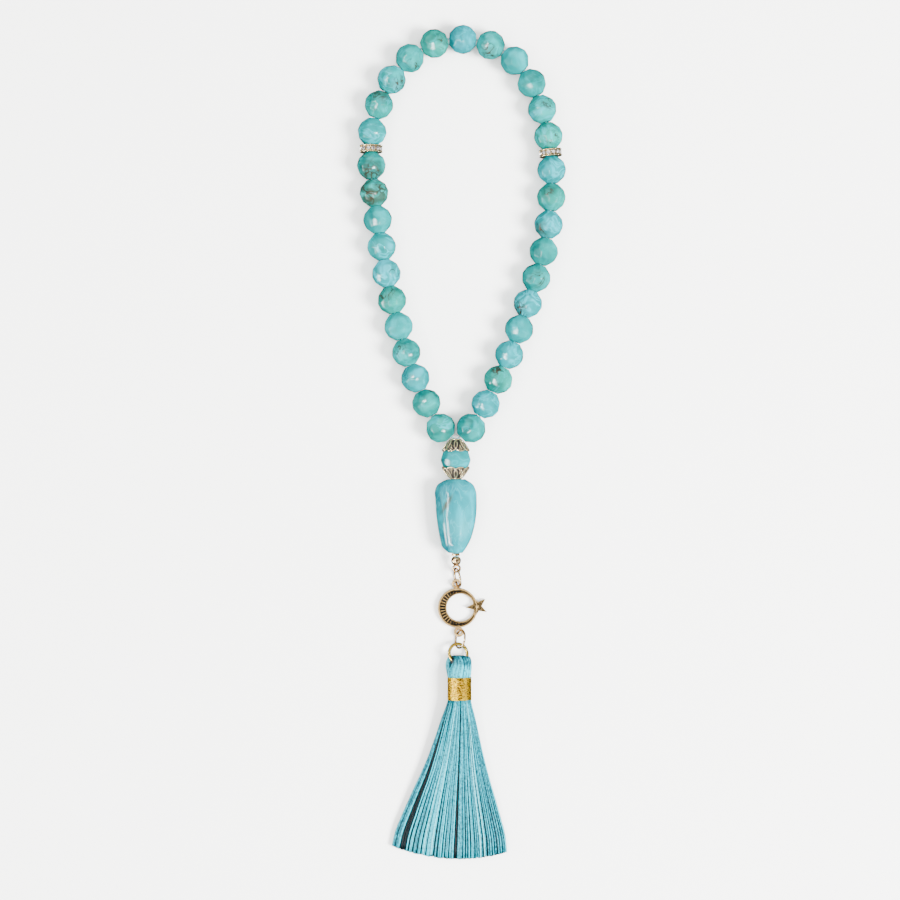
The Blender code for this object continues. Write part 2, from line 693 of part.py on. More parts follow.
def star():
    outline = bpy.data.curves.new("star", "CURVE")
    outline.dimensions = "2D"
    outline.fill_mode = "BOTH"
    outline.extrude = STAR_HEIGHT / 2 * MM
    spline = outline.splines.new("POLY")
    spline.points.add(9)
    for index, target in enumerate(spline.points):
        radius = STAR_NOTCH_RADIUS if index % 2 else STAR_POINT_RADIUS
        angle = math.pi + STAR_TURN + math.pi * index / 5
        target.co = (radius * MM * math.cos(angle), radius * MM * math.sin(angle), 0.0, 1.0)
    spline.use_cyclic_u = True
    curve = link_object("star outline", outline)
    solid = link_object("star", baked(curve, "star"))
    solid.location = Vector((*STAR_CENTRE, STAR_HEIGHT / 2)) * MM
    return solid


def fan_section(share, middle, half_width, half_depth):
    """One row across the skirt. Its threads run on from the band and end on a curved line."""
    ring = []
    for across, up in oval(1.0, half_depth, 2.3):
        side = across - SKIRT_LOWEST_SIDE
        rise, room = ((SKIRT_LEFT_RISE, 1 + SKIRT_LOWEST_SIDE) if side < 0
                      else (SKIRT_RIGHT_RISE, 1 - SKIRT_LOWEST_SIDE))
        end = SKIRT_END_Y + rise * (side / room) ** 2
        ring.append((middle + half_width * across, SKIRT_TOP_Y + share * (end - SKIRT_TOP_Y),
                     half_depth + 0.3 * (1 - share) + up))
    return ring


def build_tassel():
    """One bundle of silk, folded through the ring, and the gold thread wound round its neck."""
    rings = [[(middle + across, y, level + up) for across, up in oval(half_width, half_depth, 2.4)]
             for y, middle, half_width, level, half_depth in HEAD_SECTIONS]
    rings += [fan_section(*section) for section in SKIRT_SECTIONS]
    silk = loft("tassel_threads", rings, "tassel_silk")
    tunnel = torus("tunnel", TASSEL_RING_RADIUS, TASSEL_RING_WIRE_RADIUS + TUNNEL_GAP, None)
    axis = tassel_ring_turn() @ Vector((0, 0, 1))
    place(tunnel, TASSEL_RING_CENTRE, tuple(axis))
    boolean(silk, tunnel, "DIFFERENCE")
    length = BAND_TOP_Y - BAND_BOTTOM_Y
    inner = NECK_RADIUS + 0.25
    band = turned("tassel_band", [
        (inner, 0.0), (BAND_RADIUS - 0.3, 0.0), (BAND_RADIUS, -0.3), (BAND_RADIUS, 0.3 - length),
        (BAND_RADIUS - 0.3, -length), (inner, -length)], "gold_thread")
    place(shade(band), (BAND_CENTRE_X, BAND_TOP_Y, BAND_LEVEL), (0, 1, 0))
    return shade(silk), band


def build_pendant(loop_place):
    """The chain of rings, the crescent and the tassel, each hung on its own joint's pivot."""
    upper_eye = Vector((*UPPER_EYE, EYE_LEVEL)) - Vector((0, JUMP_IN_EYE, 0))
    lower_eye = Vector((*LOWER_EYE, EYE_LEVEL)) + Vector((0, JUMP_IN_EYE, 0))
    ring_centre = Vector(TASSEL_RING_CENTRE)
    ring_turn = tassel_ring_turn()
    crossing = ring_centre + ring_turn @ Vector((0, JUMP_TO_RING_CENTRE, 0))
    upper = StandingRing(loop_place, upper_eye, UPPER_JUMP_RADIUS, UPPER_JUMP_LEAN)
    lower = StandingRing(lower_eye, crossing, LOWER_JUMP_RADIUS, LOWER_JUMP_LEAN)
    hang_on(upper.build("upper_jump_ring"),
            pivot("pivot_upper_jump_ring", loop_place, tuple(loop_axis())))
    hang_on(crescent_star(), pivot("pivot_crescent", upper.centre, tuple(upper.axis)))
    hang_on(lower.build("lower_jump_ring"),
            pivot("pivot_lower_jump_ring", (*LOWER_EYE, EYE_LEVEL), eye_axis(1)))
    ring = torus("tassel_ring", TASSEL_RING_RADIUS, TASSEL_RING_WIRE_RADIUS, "yellow_gold")
    ring_axis = tuple(ring_turn @ Vector((0, 0, 1)))
    place(shade(ring), ring_centre, ring_axis)
    hang_on(ring, pivot("pivot_tassel_ring", lower.centre, tuple(lower.axis)))
    tassel_pivot = pivot("pivot_tassel", ring_centre, ring_axis)
    for obj in build_tassel():
        hang_on(obj, tassel_pivot)
    return upper, lower


clear_scene()
PARTS = new_collection("misbaha")
GUIDES = new_collection("cutters")
MATERIALS = {name: principled(name) for name in COLOURS}

STRING_ROUTE = Route(ROUTE, BEAD_LEVEL)
LOOP_POINTS, SLACK = build_loop(STRING_ROUTE)
build_head()
LOOP_PLACE = build_knot()
STRING_LENGTH = build_string(LOOP_POINTS)
UPPER_RING, LOWER_RING = build_pendant(LOOP_PLACE)
bpy.context.view_layer.update()
print(f"string {STRING_LENGTH:.1f} mm, slack between beads {SLACK:.3f} mm")
print(f"clear of the table: {UPPER_RING.clear_of_table:.2f}, {LOWER_RING.clear_of_table:.2f} mm")
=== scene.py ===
"""Misbaha prayer beads: the fine pieces and their materials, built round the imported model.

Lengths are in metres unless a name says otherwise. MM turns millimetres into metres.
"""
import json
import math

import bmesh
import bpy
import numpy as np
from mathutils import Matrix, Vector


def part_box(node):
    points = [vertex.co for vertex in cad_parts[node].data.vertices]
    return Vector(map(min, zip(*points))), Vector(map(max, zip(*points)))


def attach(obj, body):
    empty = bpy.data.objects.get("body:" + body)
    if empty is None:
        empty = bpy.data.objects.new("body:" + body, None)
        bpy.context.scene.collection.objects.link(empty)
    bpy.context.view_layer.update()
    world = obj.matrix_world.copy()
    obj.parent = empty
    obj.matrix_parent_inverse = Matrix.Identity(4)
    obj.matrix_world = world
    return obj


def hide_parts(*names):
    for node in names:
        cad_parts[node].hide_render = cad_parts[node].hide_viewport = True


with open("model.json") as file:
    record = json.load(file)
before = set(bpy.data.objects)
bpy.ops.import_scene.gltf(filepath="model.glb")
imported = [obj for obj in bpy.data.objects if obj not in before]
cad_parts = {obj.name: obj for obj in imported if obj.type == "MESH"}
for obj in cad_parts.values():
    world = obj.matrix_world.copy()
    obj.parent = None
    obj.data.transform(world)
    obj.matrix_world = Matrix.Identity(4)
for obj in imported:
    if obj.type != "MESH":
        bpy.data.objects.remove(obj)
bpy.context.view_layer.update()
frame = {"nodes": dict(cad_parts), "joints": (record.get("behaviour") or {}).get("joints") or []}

MM = 0.001
JOINTS = {joint["name"]: joint for joint in frame["joints"]}
BEADS = [f"bead_{number:02d}" for number in range(1, 34)]

# Camera
VIEW_CENTRE = Vector((-4.0, -2.3, 3.0)) * MM
VIEW_WIDTH = 315 * MM
CAMERA_HEIGHT = 0.75
SENSOR_WIDTH = 36.0

# Beads, in millimetres. A growth is how much wider and longer than the CAD's a bead is drawn
BEAD_RADIUS = 5.0
JOINING_RADIUS = 5.1
BEAD_EDGE = 0.42                # width of the facets' softened edges
BORE_REACH = 1.2                # the points nearer the axis than this belong to the bore
BEAD_GROWTH = (1.04, 1.015)
END_BEAD_GROWTH = (1.08, 1.03)
JOINING_GROWTH = (1.05, 1.0)

# Each bead's look: tint (0 blue to 1 green), white share and, if it has veins, their share and
# the direction of the patch that they lie in
BEAD_LOOKS = (
    (0.75, 0.55), (0.70, 0.20), (0.25, 0.40), (0.60, 0.25, 0.1, (-0.5, 0.2, 0.8)), (0.45, 0.20),
    (0.85, 0.20, 0.6, (-0.5, 0.5, 0.7)), (0.25, 0.85, 0.5, (0.6, 0.5, 0.6)), (0.40, 0.65),
    (0.45, 0.15), (0.80, 0.45, 1.8, (0.0, 0.0, 1.0)), (0.65, 0.25, 0.7, (0.1, -0.6, 0.8)),
    (0.40, 0.60), (0.75, 0.35, 0.6, (0.0, 0.8, 0.6)), (0.50, 0.70, 0.4, (0.6, -0.5, 0.6)),
    (0.60, 0.20, 0.1, (0.3, -0.6, 0.7)), (0.90, 0.30, 0.4, (0.8, 0.1, 0.6)), (0.00, 0.35),
    (0.60, 0.25, 0.4, (0.0, -0.6, 0.8)), (0.40, 0.10), (0.55, 0.20),
    (0.65, 0.45, 0.1, (0.4, 0.4, 0.8)), (0.85, 0.50, 0.2, (0.3, -0.3, 0.9)), (0.20, 0.60),
    (0.85, 0.25, 0.1, (-0.4, 0.3, 0.8)), (0.15, 0.65, 0.4, (-0.6, -0.6, 0.5)), (0.60, 0.10),
    (0.55, 0.15, 0.3, (0.1, -0.2, 0.9)), (0.15, 0.80, 0.5, (-0.7, -0.5, 0.5)), (0.35, 0.15),
    (0.20, 0.60), (0.85, 0.25, 0.1, (0.0, 0.7, 0.7)), (0.15, 0.55), (0.55, 0.25),
)
JOINING_LOOK = (0.2, 0.25)
JOINING_SEED = 41


# Node helpers

class Nodes:
    """A node tree, built a node at a time."""

    def __init__(self, tree):
        self.tree = tree

    def node(self, kind, inputs=None, **settings):
        node = self.tree.nodes.new("ShaderNode" + kind)
        for key, value in settings.items():
            setattr(node, key, value)
        for socket, value in (inputs or {}).items():
            self.feed(node.inputs[socket], value)
        return node

    def feed(self, socket, value):
        if isinstance(value, bpy.types.NodeSocket):
            self.tree.links.new(value, socket)
        elif isinstance(value, bpy.types.Node):
            self.tree.links.new(value.outputs[0], socket)
        else:
            socket.default_value = value

    def math(self, operation, a, b=0.0, clamp=False):
        return self.node("Math", {0: a, 1: b}, operation=operation, use_clamp=clamp).outputs[0]

    def ramp(self, value, low, high, below=0.0, above=1.0, kind="SMOOTHSTEP"):
        """Eases from one value, where the input is below low, to another, where it is above high."""
        return self.node("MapRange", {"Value": value, "From Min": low, "From Max": high,
                                      "To Min": below, "To Max": above},
                         interpolation_type=kind).outputs[0]

    def mix(self, factor, a, b, blend="MIX"):
        node = self.node("Mix", data_type="RGBA", blend_type=blend)
        self.feed(node.inputs[0], factor)
        self.feed(node.inputs[6], a)
        self.feed(node.inputs[7], b)
        return node.outputs[2]

    def coords(self, shift=(0.0, 0.0, 0.0), stretch=(1.0, 1.0, 1.0)):
        """The piece's own coordinates in millimetres."""
        place = self.node("TexCoord").outputs["Object"]
        scale = tuple(part / MM for part in stretch)
        return self.node("Mapping", {"Vector": place, "Location": shift, "Scale": scale}).outputs[0]

    def noise(self, coords, scale, detail=2.0, rough=0.5, distort=0.0):
        return self.node("TexNoise", {"Vector": coords, "Scale": scale, "Detail": detail,
                                      "Roughness": rough, "Distortion": distort})

    def crease(self, value, level, low, high):
        """1 where a value is within low of a level, easing to 0 at high."""
        apart = self.math("ABSOLUTE", self.math("SUBTRACT", value, level))
        return self.ramp(apart, low, high, 1.0, 0.0)

    def pushed(self, place, scale, detail, reach):
        """Coordinates pushed about by a slow noise."""
        push = self.noise(place, scale, detail).outputs["Color"]
        push = self.node("VectorMath", {0: push, 1: (0.5, 0.5, 0.5)}, operation="SUBTRACT")
        push = self.node("VectorMath", {0: push, 3: reach}, operation="SCALE")
        return self.node("VectorMath", {0: place, 1: push}, operation="ADD").outputs[0]

    def bump(self, height, strength, distance):
        return self.node("Bump", {"Height": height, "Strength": strength, "Distance": distance})


class Shader(Nodes):
    """A material whose one surface takes fixed values and nodes."""

    def __init__(self, name, **values):
        self.material = bpy.data.materials.new(name)
        self.material.use_nodes = True
        super().__init__(self.material.node_tree)
        self.surface = self.tree.nodes["Principled BSDF"]
        for socket, value in values.items():
            self.surface.inputs[socket.replace("_", " ")].default_value = value

    def set(self, socket, value):
        self.feed(self.surface.inputs[socket], value)


def rgb(red, green, blue):
    """A colour given as it looks on screen, 0 to 255."""
    return tuple(((part / 255 + 0.055) / 1.055) ** 2.4 if part > 10 else part / 3294
                 for part in (red, green, blue)) + (1.0,)


def mix_rgb(a, b, share):
    """The colour a share of the way from a to b."""
    return tuple(x + (y - x) * share for x, y in zip(a, b))


# Materials

def resin(name):
    """The polish shared by every resin bead: glossy, with light let a little way in."""
    mat = Shader(name, IOR=1.4, Subsurface_Weight=0.3, Subsurface_Radius=(0.4, 1.0, 1.0),
                 Subsurface_Scale=1.6 * MM)
    fine = mat.noise(mat.coords(), 3.0, 2.0).outputs[0]
    mat.set("Roughness", mat.node("MapRange", {"Value": fine, "To Min": 0.07, "To Max": 0.16}))
    mat.set("Normal", mat.bump(mat.noise(mat.coords(), 0.9, 1.0).outputs[0], 0.10, 0.05 * MM))
    return mat


def marble(name, seed, radius, tint, white, vein=0.0, patch=None):
    """Polished resin: turquoise clouds, white swirls and, on some beads, brown veins."""
    mat = resin(name)
    shift = (seed * 7.3, seed * 3.1, seed * 5.7)
    place = mat.coords(shift=shift)
    flow = mat.pushed(place, 0.11, 1.0, 9.0)
    cloud = mat.noise(flow, 0.14, 2.0, 0.5, 0.4).outputs[0]
    deep = mix_rgb(rgb(0, 78, 84), rgb(0, 80, 70), tint)
    middle = mix_rgb(rgb(0, 104, 110), rgb(0, 104, 92), tint)
    light = mix_rgb(rgb(0, 126, 138), rgb(2, 126, 112), tint)
    colour = mat.mix(mat.ramp(cloud, 0.30, 0.48), deep, middle)
    colour = mat.mix(mat.ramp(cloud, 0.5, 0.7), colour, light)
    swirl = mat.noise(flow, 0.15, 3.0, 0.5, 1.2).outputs[0]
    streak = mat.crease(swirl, 0.5, 0.0, 0.02 + 0.04 * white)
    blot = mat.ramp(mat.noise(flow, 0.15, 1.0, 0.5, 0.5).outputs[0], 0.68 - 0.12 * white, 0.8)
    pale = mat.math("MAXIMUM", mat.math("MULTIPLY", streak, 0.85 * white),
                    mat.math("MULTIPLY", blot, white), clamp=True)
    colour = mat.mix(pale, colour, rgb(34, 154, 168))
    if vein:
        colour = brown_veins(mat, colour, place, flow, vein, patch, radius, shift)
    mat.set("Base Color", colour)
    return mat.material


def brown_veins(mat, colour, place, flow, vein, patch, radius, shift):
    """Brown lines over a grey smudge, in one patch of a bead. patch points at it from the middle."""
    centre = Vector(patch).normalized() * radius + Vector(shift)
    away = mat.node("VectorMath", {0: place, 1: tuple(centre)}, operation="DISTANCE")
    reach = radius * (0.75 + 0.65 * vein)
    near = mat.ramp(away.outputs["Value"], 0.25 * reach, reach, 1.0, 0.0)
    lines = mat.noise(flow, 0.17, 3.0, 0.5, 1.3).outputs[0]
    thin = mat.crease(lines, 0.49, 0.008, 0.03 + 0.03 * vein)
    smudge = mat.ramp(mat.noise(flow, 0.22, 3.0, 0.6).outputs[0], 0.40, 0.58)
    grey = mat.math("MULTIPLY", mat.math("MULTIPLY", smudge, near), 0.3 + 0.55 * vein)
    colour = mat.mix(grey, colour, rgb(34, 66, 56))
    brown = mat.math("MULTIPLY", thin, near, clamp=True)
    return mat.mix(mat.math("MULTIPLY", brown, 0.95), colour, rgb(40, 26, 10))


def imam_marble(name):
    """Softer clouds than the small beads have, a painted sheen low on its upper face, and one brown
    streak slanting down to the left.
    """
    mat = resin(name)
    place = mat.coords()
    cloud = mat.noise(mat.coords(stretch=(1.0, 0.55, 1.0)), 0.16, 2.0, 0.5, 0.6).outputs[0]
    colour = mat.mix(mat.ramp(cloud, 0.3, 0.5), rgb(0, 86, 96), rgb(0, 106, 114))
    colour = mat.mix(mat.ramp(cloud, 0.5, 0.72), colour, rgb(0, 128, 140))
    # Painted sheen: a pale patch on the upper face of the lower half, where a soft reflection shows.
    sheen_patch = mat.node("VectorMath", {0: place, 1: (1.4, -16.5, 4.5)}, operation="DISTANCE")
    sheen_patch = mat.ramp(sheen_patch.outputs["Value"], 1.0, 6.0, 1.0, 0.0)
    colour = mat.mix(mat.math("MULTIPLY", sheen_patch, 0.2), colour, rgb(60, 156, 158))
    wisp = mat.noise(mat.coords(stretch=(1.0, 0.4, 1.0)), 0.32, 3.0, 0.5, 1.0).outputs[0]
    wisps = mat.crease(wisp, 0.5, 0.0, 0.03)
    colour = mat.mix(mat.math("MULTIPLY", wisps, 0.25), colour, rgb(60, 156, 166))
    near = mat.pushed(place, 0.35, 2.0, 2.6)
    near = mat.node("VectorMath", {0: near, 1: (-3.2, -8.2, 4.0)}, operation="SUBTRACT")
    along = mat.node("Mapping", {"Vector": near, "Rotation": (0.0, 0.0, math.radians(-56.0))})
    along = mat.node("VectorMath", {0: along, 1: (0.16, 0.8, 0.22)}, operation="MULTIPLY")
    reach = mat.node("VectorMath", {0: along}, operation="LENGTH").outputs["Value"]
    streak = mat.ramp(reach, 0.15, 1.0, 1.0, 0.0)
    colour = mat.mix(mat.math("MULTIPLY", streak, 0.9), colour, rgb(52, 56, 42))
    mat.set("Base Color", colour)
    return mat.material


def gold(name, colour, dark, roughness=0.22, wear_scale=2.5, patina_and_shade_share=0.0, metallic=1.0):
    """Plated metal, with fine unevenness and, where it is antiqued, dark recesses and, where marked,
    painted shade.
    """
    mat = Shader(name, Metallic=metallic)
    place = mat.coords()
    patchy = mat.noise(place, wear_scale, 4.0, 0.6).outputs[0]
    tone_and_shading = mat.mix(mat.ramp(patchy, 0.35, 0.7), colour, mix_rgb(colour, dark, 0.55))
    if patina_and_shade_share:
        # The mark read here: patina in the recesses, and painted shade on the eyes' wires.
        patina_and_shade = mat.node("Attribute", attribute_name="patina_and_shade").outputs["Fac"]
        tone_and_shading = mat.mix(mat.math("MULTIPLY", patina_and_shade, patina_and_shade_share), tone_and_shading, dark)
    mat.set("Base Color", tone_and_shading)
    mat.set("Roughness", mat.node("MapRange", {
        "Value": patchy, "To Min": roughness * 0.7, "To Max": roughness * 1.5}))
    mat.set("Normal", mat.bump(mat.noise(place, 9.0, 3.0).outputs[0], 0.12, 0.03 * MM))
    return mat.material


def crystal(name):
    """Clear stones with mirrored backs, and a painted sparkle: their colour is painted bright or dark in
    small patches.
    """
    mat = Shader(name, Metallic=0.75, Roughness=0.05)
    # Painted sparkle: bright and dark patches in the colour.
    painted_sparkle = mat.noise(mat.coords(), 1.3, 2.0, 0.6).outputs[0]
    colour = mat.mix(mat.ramp(painted_sparkle, 0.38, 0.5), rgb(70, 66, 70), rgb(226, 222, 220))
    mat.set("Base Color", mat.mix(mat.ramp(painted_sparkle, 0.5, 0.62), colour, rgb(255, 250, 246)))
    return mat.material


def silk(name, shade=1.0):
    """Glossy thread: tone by strand, which also carries painted shade and painted highlights, and finer
    streaks along it. A shade below 1 darkens it towards near black, for painted shade.
    """
    mat = Shader(name, Roughness=0.35, IOR=1.35)
    tone_and_shading = mat.node("Attribute", attribute_name="tone_and_shading").outputs["Fac"]
    # pale is reached only above 1, by the stray bright threads: a painted highlight.
    dark, middle, light, pale = rgb(0, 9, 12), rgb(0, 92, 106), rgb(8, 158, 174), rgb(110, 196, 204)
    colour = dark
    for low, above in ((0.0, middle), (0.5, light), (1.0, pale)):
        colour = mat.mix(mat.ramp(tone_and_shading, low, low + 0.5, kind="LINEAR"), colour, above)
    ply = mat.noise(mat.coords(stretch=(1.0, 0.7, 1.0)), 1.7, 2.0, 0.7).outputs[0]
    lit = mat.math("MULTIPLY", mat.ramp(ply, 0.5, 0.62), mat.ramp(tone_and_shading, 0.1, 0.4))
    colour = mat.mix(mat.math("MULTIPLY", lit, 0.6), colour, light)
    shaded = mat.ramp(ply, 0.36, 0.48, 1.0, 0.0)
    colour = mat.mix(mat.math("MULTIPLY", shaded, 0.6), colour, dark)
    mat.set("Base Color", mat.mix(1.0 - shade, colour, rgb(0, 18, 24)))
    mat.set("Normal", mat.bump(ply, 0.35, 0.08 * MM))
    return mat.material


def metallic_thread(name):
    """Gold film thread with painted glitter: small cells of its colour are painted bright or dark, and
    the mark it reads adds two painted highlight zones.
    """
    mat = Shader(name, Metallic=0.9)
    place = mat.coords(stretch=(1.0, 1.6, 1.0))
    glitter = mat.node("TexVoronoi", {"Vector": place, "Scale": 2.4}).outputs["Color"]
    bright = mat.node("SeparateColor", {0: glitter}).outputs[0]
    tone_and_shading = mat.node("Attribute", attribute_name="tone_and_shading").outputs["Fac"]
    level = mat.node("Math", {0: bright, 1: 0.9, 2: -0.42}, operation="MULTIPLY_ADD")
    level = mat.math("ADD", level, tone_and_shading, clamp=True)
    colour = mat.mix(mat.ramp(level, 0.1, 0.5), rgb(96, 68, 4), rgb(222, 176, 30))
    colour = mat.mix(mat.ramp(level, 0.55, 0.9), colour, rgb(244, 208, 56))
    mat.set("Base Color", colour)
    mat.set("Roughness", mat.node("MapRange", {"Value": bright, "To Min": 0.2, "To Max": 0.5}))
    mat.set("Normal", mat.bump(bright, 0.5, 0.06 * MM))
    return mat.material


def cord(name):
    """Twisted beading cord."""
    mat = Shader(name, Roughness=0.8, Sheen_Weight=0.2)
    twist = mat.node("TexWave", {"Vector": mat.coords(), "Scale": 1.6, "Distortion": 1.0},
                     bands_direction="DIAGONAL").outputs[0]
    mat.set("Base Color", mat.mix(twist, rgb(70, 128, 134), rgb(148, 196, 196)))
    mat.set("Normal", mat.bump(twist, 0.5, 0.08 * MM))
    return mat.material


def table_top(name):
    """Matt white, with a faint grain."""
    mat = Shader(name, Roughness=0.7)
    grain = mat.noise(mat.coords(), 0.02, 2.0).outputs[0]
    paper = mat.mix(grain, rgb(240, 240, 237), rgb(244, 244, 242))
    mat.set("Base Color", paper)
    return mat.material


# Shape helpers

def link(name, data, where=None):
    """Puts an object in the scene, at a placing if one is given."""
    obj = bpy.data.objects.new(name, data)
    bpy.context.scene.collection.objects.link(obj)
    if where:
        obj.matrix_world = where
    return obj


def piece(obj, material, body, slot, *replaced):
    """Gives a piece its finish and its body, and hides the plain solids it stands for."""
    obj.data.materials.clear()
    obj.data.materials.append(material)
    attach(obj, body)
    if replaced:
        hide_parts(*replaced)


def facing(axis, where=(0, 0, 0), across=None):
    """The placing that turns Z to an axis and, if one is given, X towards a direction."""
    up = Vector(axis).normalized()
    side = Vector(across) if across is not None else up.orthogonal()
    side = (side - up * side.dot(up)).normalized()
    turn = Matrix((side, up.cross(side), up)).transposed()
    return Matrix.Translation(where) @ turn.to_4x4()


def turns(count, shift=0.0):
    """Evenly spaced angles all the way round, moved on by a share of a step."""
    return [2 * math.pi * (k + shift) / count for k in range(count)]


def grid_mesh(name, rows, over=False):
    """Skins closed rows of points, in millimetres: capped, or with over the last joined to the first."""
    rows = np.asarray(rows, float) * MM
    count, width = rows.shape[:2]
    faces = []
    for row in range(count if over else count - 1):
        here, there = row * width, (row + 1) % count * width
        for col in range(width):
            after = (col + 1) % width
            faces.append((here + col, here + after, there + after, there + col))
    if not over:
        faces.append(tuple(range(width))[::-1])
        faces.append(tuple(range((count - 1) * width, count * width)))
    mesh = bpy.data.meshes.new(name)
    mesh.from_pydata(rows.reshape(-1, 3).tolist(), [], faces)
    mesh.update()
    bm = bmesh.new()
    bm.from_mesh(mesh)
    bmesh.ops.recalc_face_normals(bm, faces=bm.faces)
    bm.to_mesh(mesh)
    bm.free()
    mesh.shade_smooth()
    return mesh


def join_meshes(name, meshes):
    """One mesh of several shells, each given with its placing."""
    bm = bmesh.new()
    for mesh, placing in meshes:
        mesh = mesh.copy()
        mesh.transform(placing)
        bm.from_mesh(mesh)
        bpy.data.meshes.remove(mesh)
    joined = bpy.data.meshes.new(name)
    bm.to_mesh(joined)
    bm.free()
    joined.shade_smooth()
    return joined


def turned_mesh(name, profile, steps=64):
    """A closed profile of (radius, height), in millimetres, turned about Z."""
    rows = [[(radius * math.cos(turn), radius * math.sin(turn), height)
             for radius, height in profile] for turn in turns(steps)]
    return grid_mesh(name, rows, over=True)


def mirrored(outline):
    """A profile made whole: its lower side up to its middle, and the same above."""
    return [*outline, *((radius, -height) for radius, height in outline[-2::-1])]


def wire_ring(name, radius, wire, cut=0.0, around=72, across=16):
    """A ring of round wire about Z, in millimetres. A cut parts its ends, at the side of -X."""
    rows = []
    for step in range(around + (1 if cut else 0)):
        turn = -math.pi + cut / 2 + (2 * math.pi - cut) * step / around
        rows.append([((radius + wire * math.cos(a)) * math.cos(turn),
                      (radius + wire * math.cos(a)) * math.sin(turn), wire * math.sin(a))
                     for a in turns(across)])
    return grid_mesh(name, rows, over=not cut)


def bevel(obj, width, segments, limit="ANGLE"):
    """Softens the edges: those sharper than 14 degrees, or by their weights."""
    edge = obj.modifiers.new("softened edges", "BEVEL")
    edge.width = width
    edge.segments = segments
    edge.limit_method = limit
    edge.angle_limit = math.radians(14.0)
    edge.harden_normals = True
    return obj


def bead_copy(node, swell, stretch):
    """The node's own facets made whole, about its middle, and weighted for softening."""
    centre, bore = spot(f"{node}_spin"), axis(f"{node}_spin")
    bm = bmesh.new()
    bm.from_mesh(frame["nodes"][node].data)
    bmesh.ops.remove_doubles(bm, verts=bm.verts, dist=0.001 * MM)
    bmesh.ops.dissolve_limit(bm, verts=bm.verts, edges=bm.edges, angle_limit=math.radians(0.6))
    bmesh.ops.translate(bm, verts=bm.verts, vec=-centre)
    for vert in bm.verts:
        along = bore * vert.co.dot(bore)
        out = vert.co - along
        vert.co = along * stretch + out * (swell if out.length > BORE_REACH * MM else 1.0)
    bm.normal_update()
    weights = bm.edges.layers.float.new("bevel_weight_edge")
    for edge in bm.edges:
        ends = [abs(face.normal.dot(bore)) > 0.95 for face in edge.link_faces]
        inside = min((v.co - bore * v.co.dot(bore)).length for v in edge.verts) < BORE_REACH * MM
        edge[weights] = 0.1 if inside else 0.35 if any(ends) else 1.0
    mesh = bpy.data.meshes.new(f"{node}_resin")
    bm.to_mesh(mesh)
    bm.free()
    mesh.shade_smooth()
    obj = link(f"{node}_resin", mesh)
    obj.location = centre
    return obj


def tubes(name, paths, radii, tones_and_shading, sides=6):
    """Many strands in one mesh. paths is strands by points by 3, in millimetres."""
    paths = np.asarray(paths, float)
    count, length = paths.shape[:2]
    ahead = np.gradient(paths, axis=1)
    ahead /= np.linalg.norm(ahead, axis=2, keepdims=True)
    side = np.array((1.0, 0.0, 0.0)) - ahead * ahead[..., :1]
    side /= np.linalg.norm(side, axis=2, keepdims=True)
    other = np.cross(ahead, side)
    turn = 2 * np.pi * np.arange(sides) / sides
    ring = side[:, :, None] * np.cos(turn)[:, None] + other[:, :, None] * np.sin(turn)[:, None]
    points = paths[:, :, None] + ring * np.asarray(radii)[:, :, None, None]
    index = np.arange(count * length * sides).reshape(count, length, sides)
    here, there = index[:, :-1], index[:, 1:]
    quads = np.stack((here, np.roll(here, -1, 2), np.roll(there, -1, 2), there), -1).reshape(-1, 4)
    faces = quads.tolist()
    faces += index[:, 0, ::-1].tolist() + index[:, -1].tolist()
    mesh = bpy.data.meshes.new(name)
    mesh.from_pydata((points.reshape(-1, 3) * MM).tolist(), [], faces)
    tone_and_shading = mesh.attributes.new("tone_and_shading", "FLOAT", "POINT")
    tone_and_shading.data.foreach_set("value", np.repeat(np.asarray(tones_and_shading), sides, axis=1).reshape(-1))
    mesh.update()
    mesh.shade_smooth()
    return mesh


def between(table, place, column):
    """A value from a table whose first column rises, in straight lines from row to row."""
    stops = [row[0] for row in table]
    return np.interp(place, stops, [row[column] for row in table])


def soft_between(table, places, column):
    """A curve eased through a table, for places along its first column."""
    stops = np.array([row[0] for row in table])
    values = np.array([row[column] for row in table])
    slopes = np.gradient(values, stops)
    places = np.clip(places, stops[0], stops[-1])
    index = np.clip(np.searchsorted(stops, places) - 1, 0, len(stops) - 2)
    gap = stops[index + 1] - stops[index]
    t = (places - stops[index]) / gap
    return ((2 * t ** 3 - 3 * t ** 2 + 1) * values[index]
            + (t ** 3 - 2 * t ** 2 + t) * gap * slopes[index]
            + (3 * t ** 2 - 2 * t ** 3) * values[index + 1]
            + (t ** 3 - t ** 2) * gap * slopes[index + 1])


def spot(joint):
    return Vector(JOINTS[joint]["pos_m"])


def axis(joint):
    return Vector(JOINTS[joint]["axis"])


# Beads

def make_beads():
    for seed, (node, look) in enumerate(zip(BEADS, BEAD_LOOKS), 1):
        growth = END_BEAD_GROWTH if node in (BEADS[0], BEADS[-1]) else BEAD_GROWTH
        bead = bevel(bead_copy(node, *growth), BEAD_EDGE * MM, 4, "WEIGHT")
        piece(bead, marble(f"{node} resin", seed, BEAD_RADIUS, *look), node, "bead_resin", node)
    bead = bevel(bead_copy("joining_bead", *JOINING_GROWTH), 2 * BEAD_EDGE * MM, 5, "WEIGHT")
    look = marble("joining bead resin", JOINING_SEED, JOINING_RADIUS, *JOINING_LOOK)
    piece(bead, look, "joining_bead", "bead_resin", "joining_bead")


# Imam bead, in millimetres
IMAM_EDGE = 0.35
IMAM_SIDES = 8
IMAM_STEPS = 6                   # points along each side
IMAM_ROUNDING = 0.5              # 0 has flat sides, 1 has none
IMAM_TOP_TURN = math.radians(27.5)      # its twist, which eases out towards the lower end
IMAM_REST_TURN = math.radians(8.0)
IMAM_BORE = 1.0
IMAM_ROWS = 46
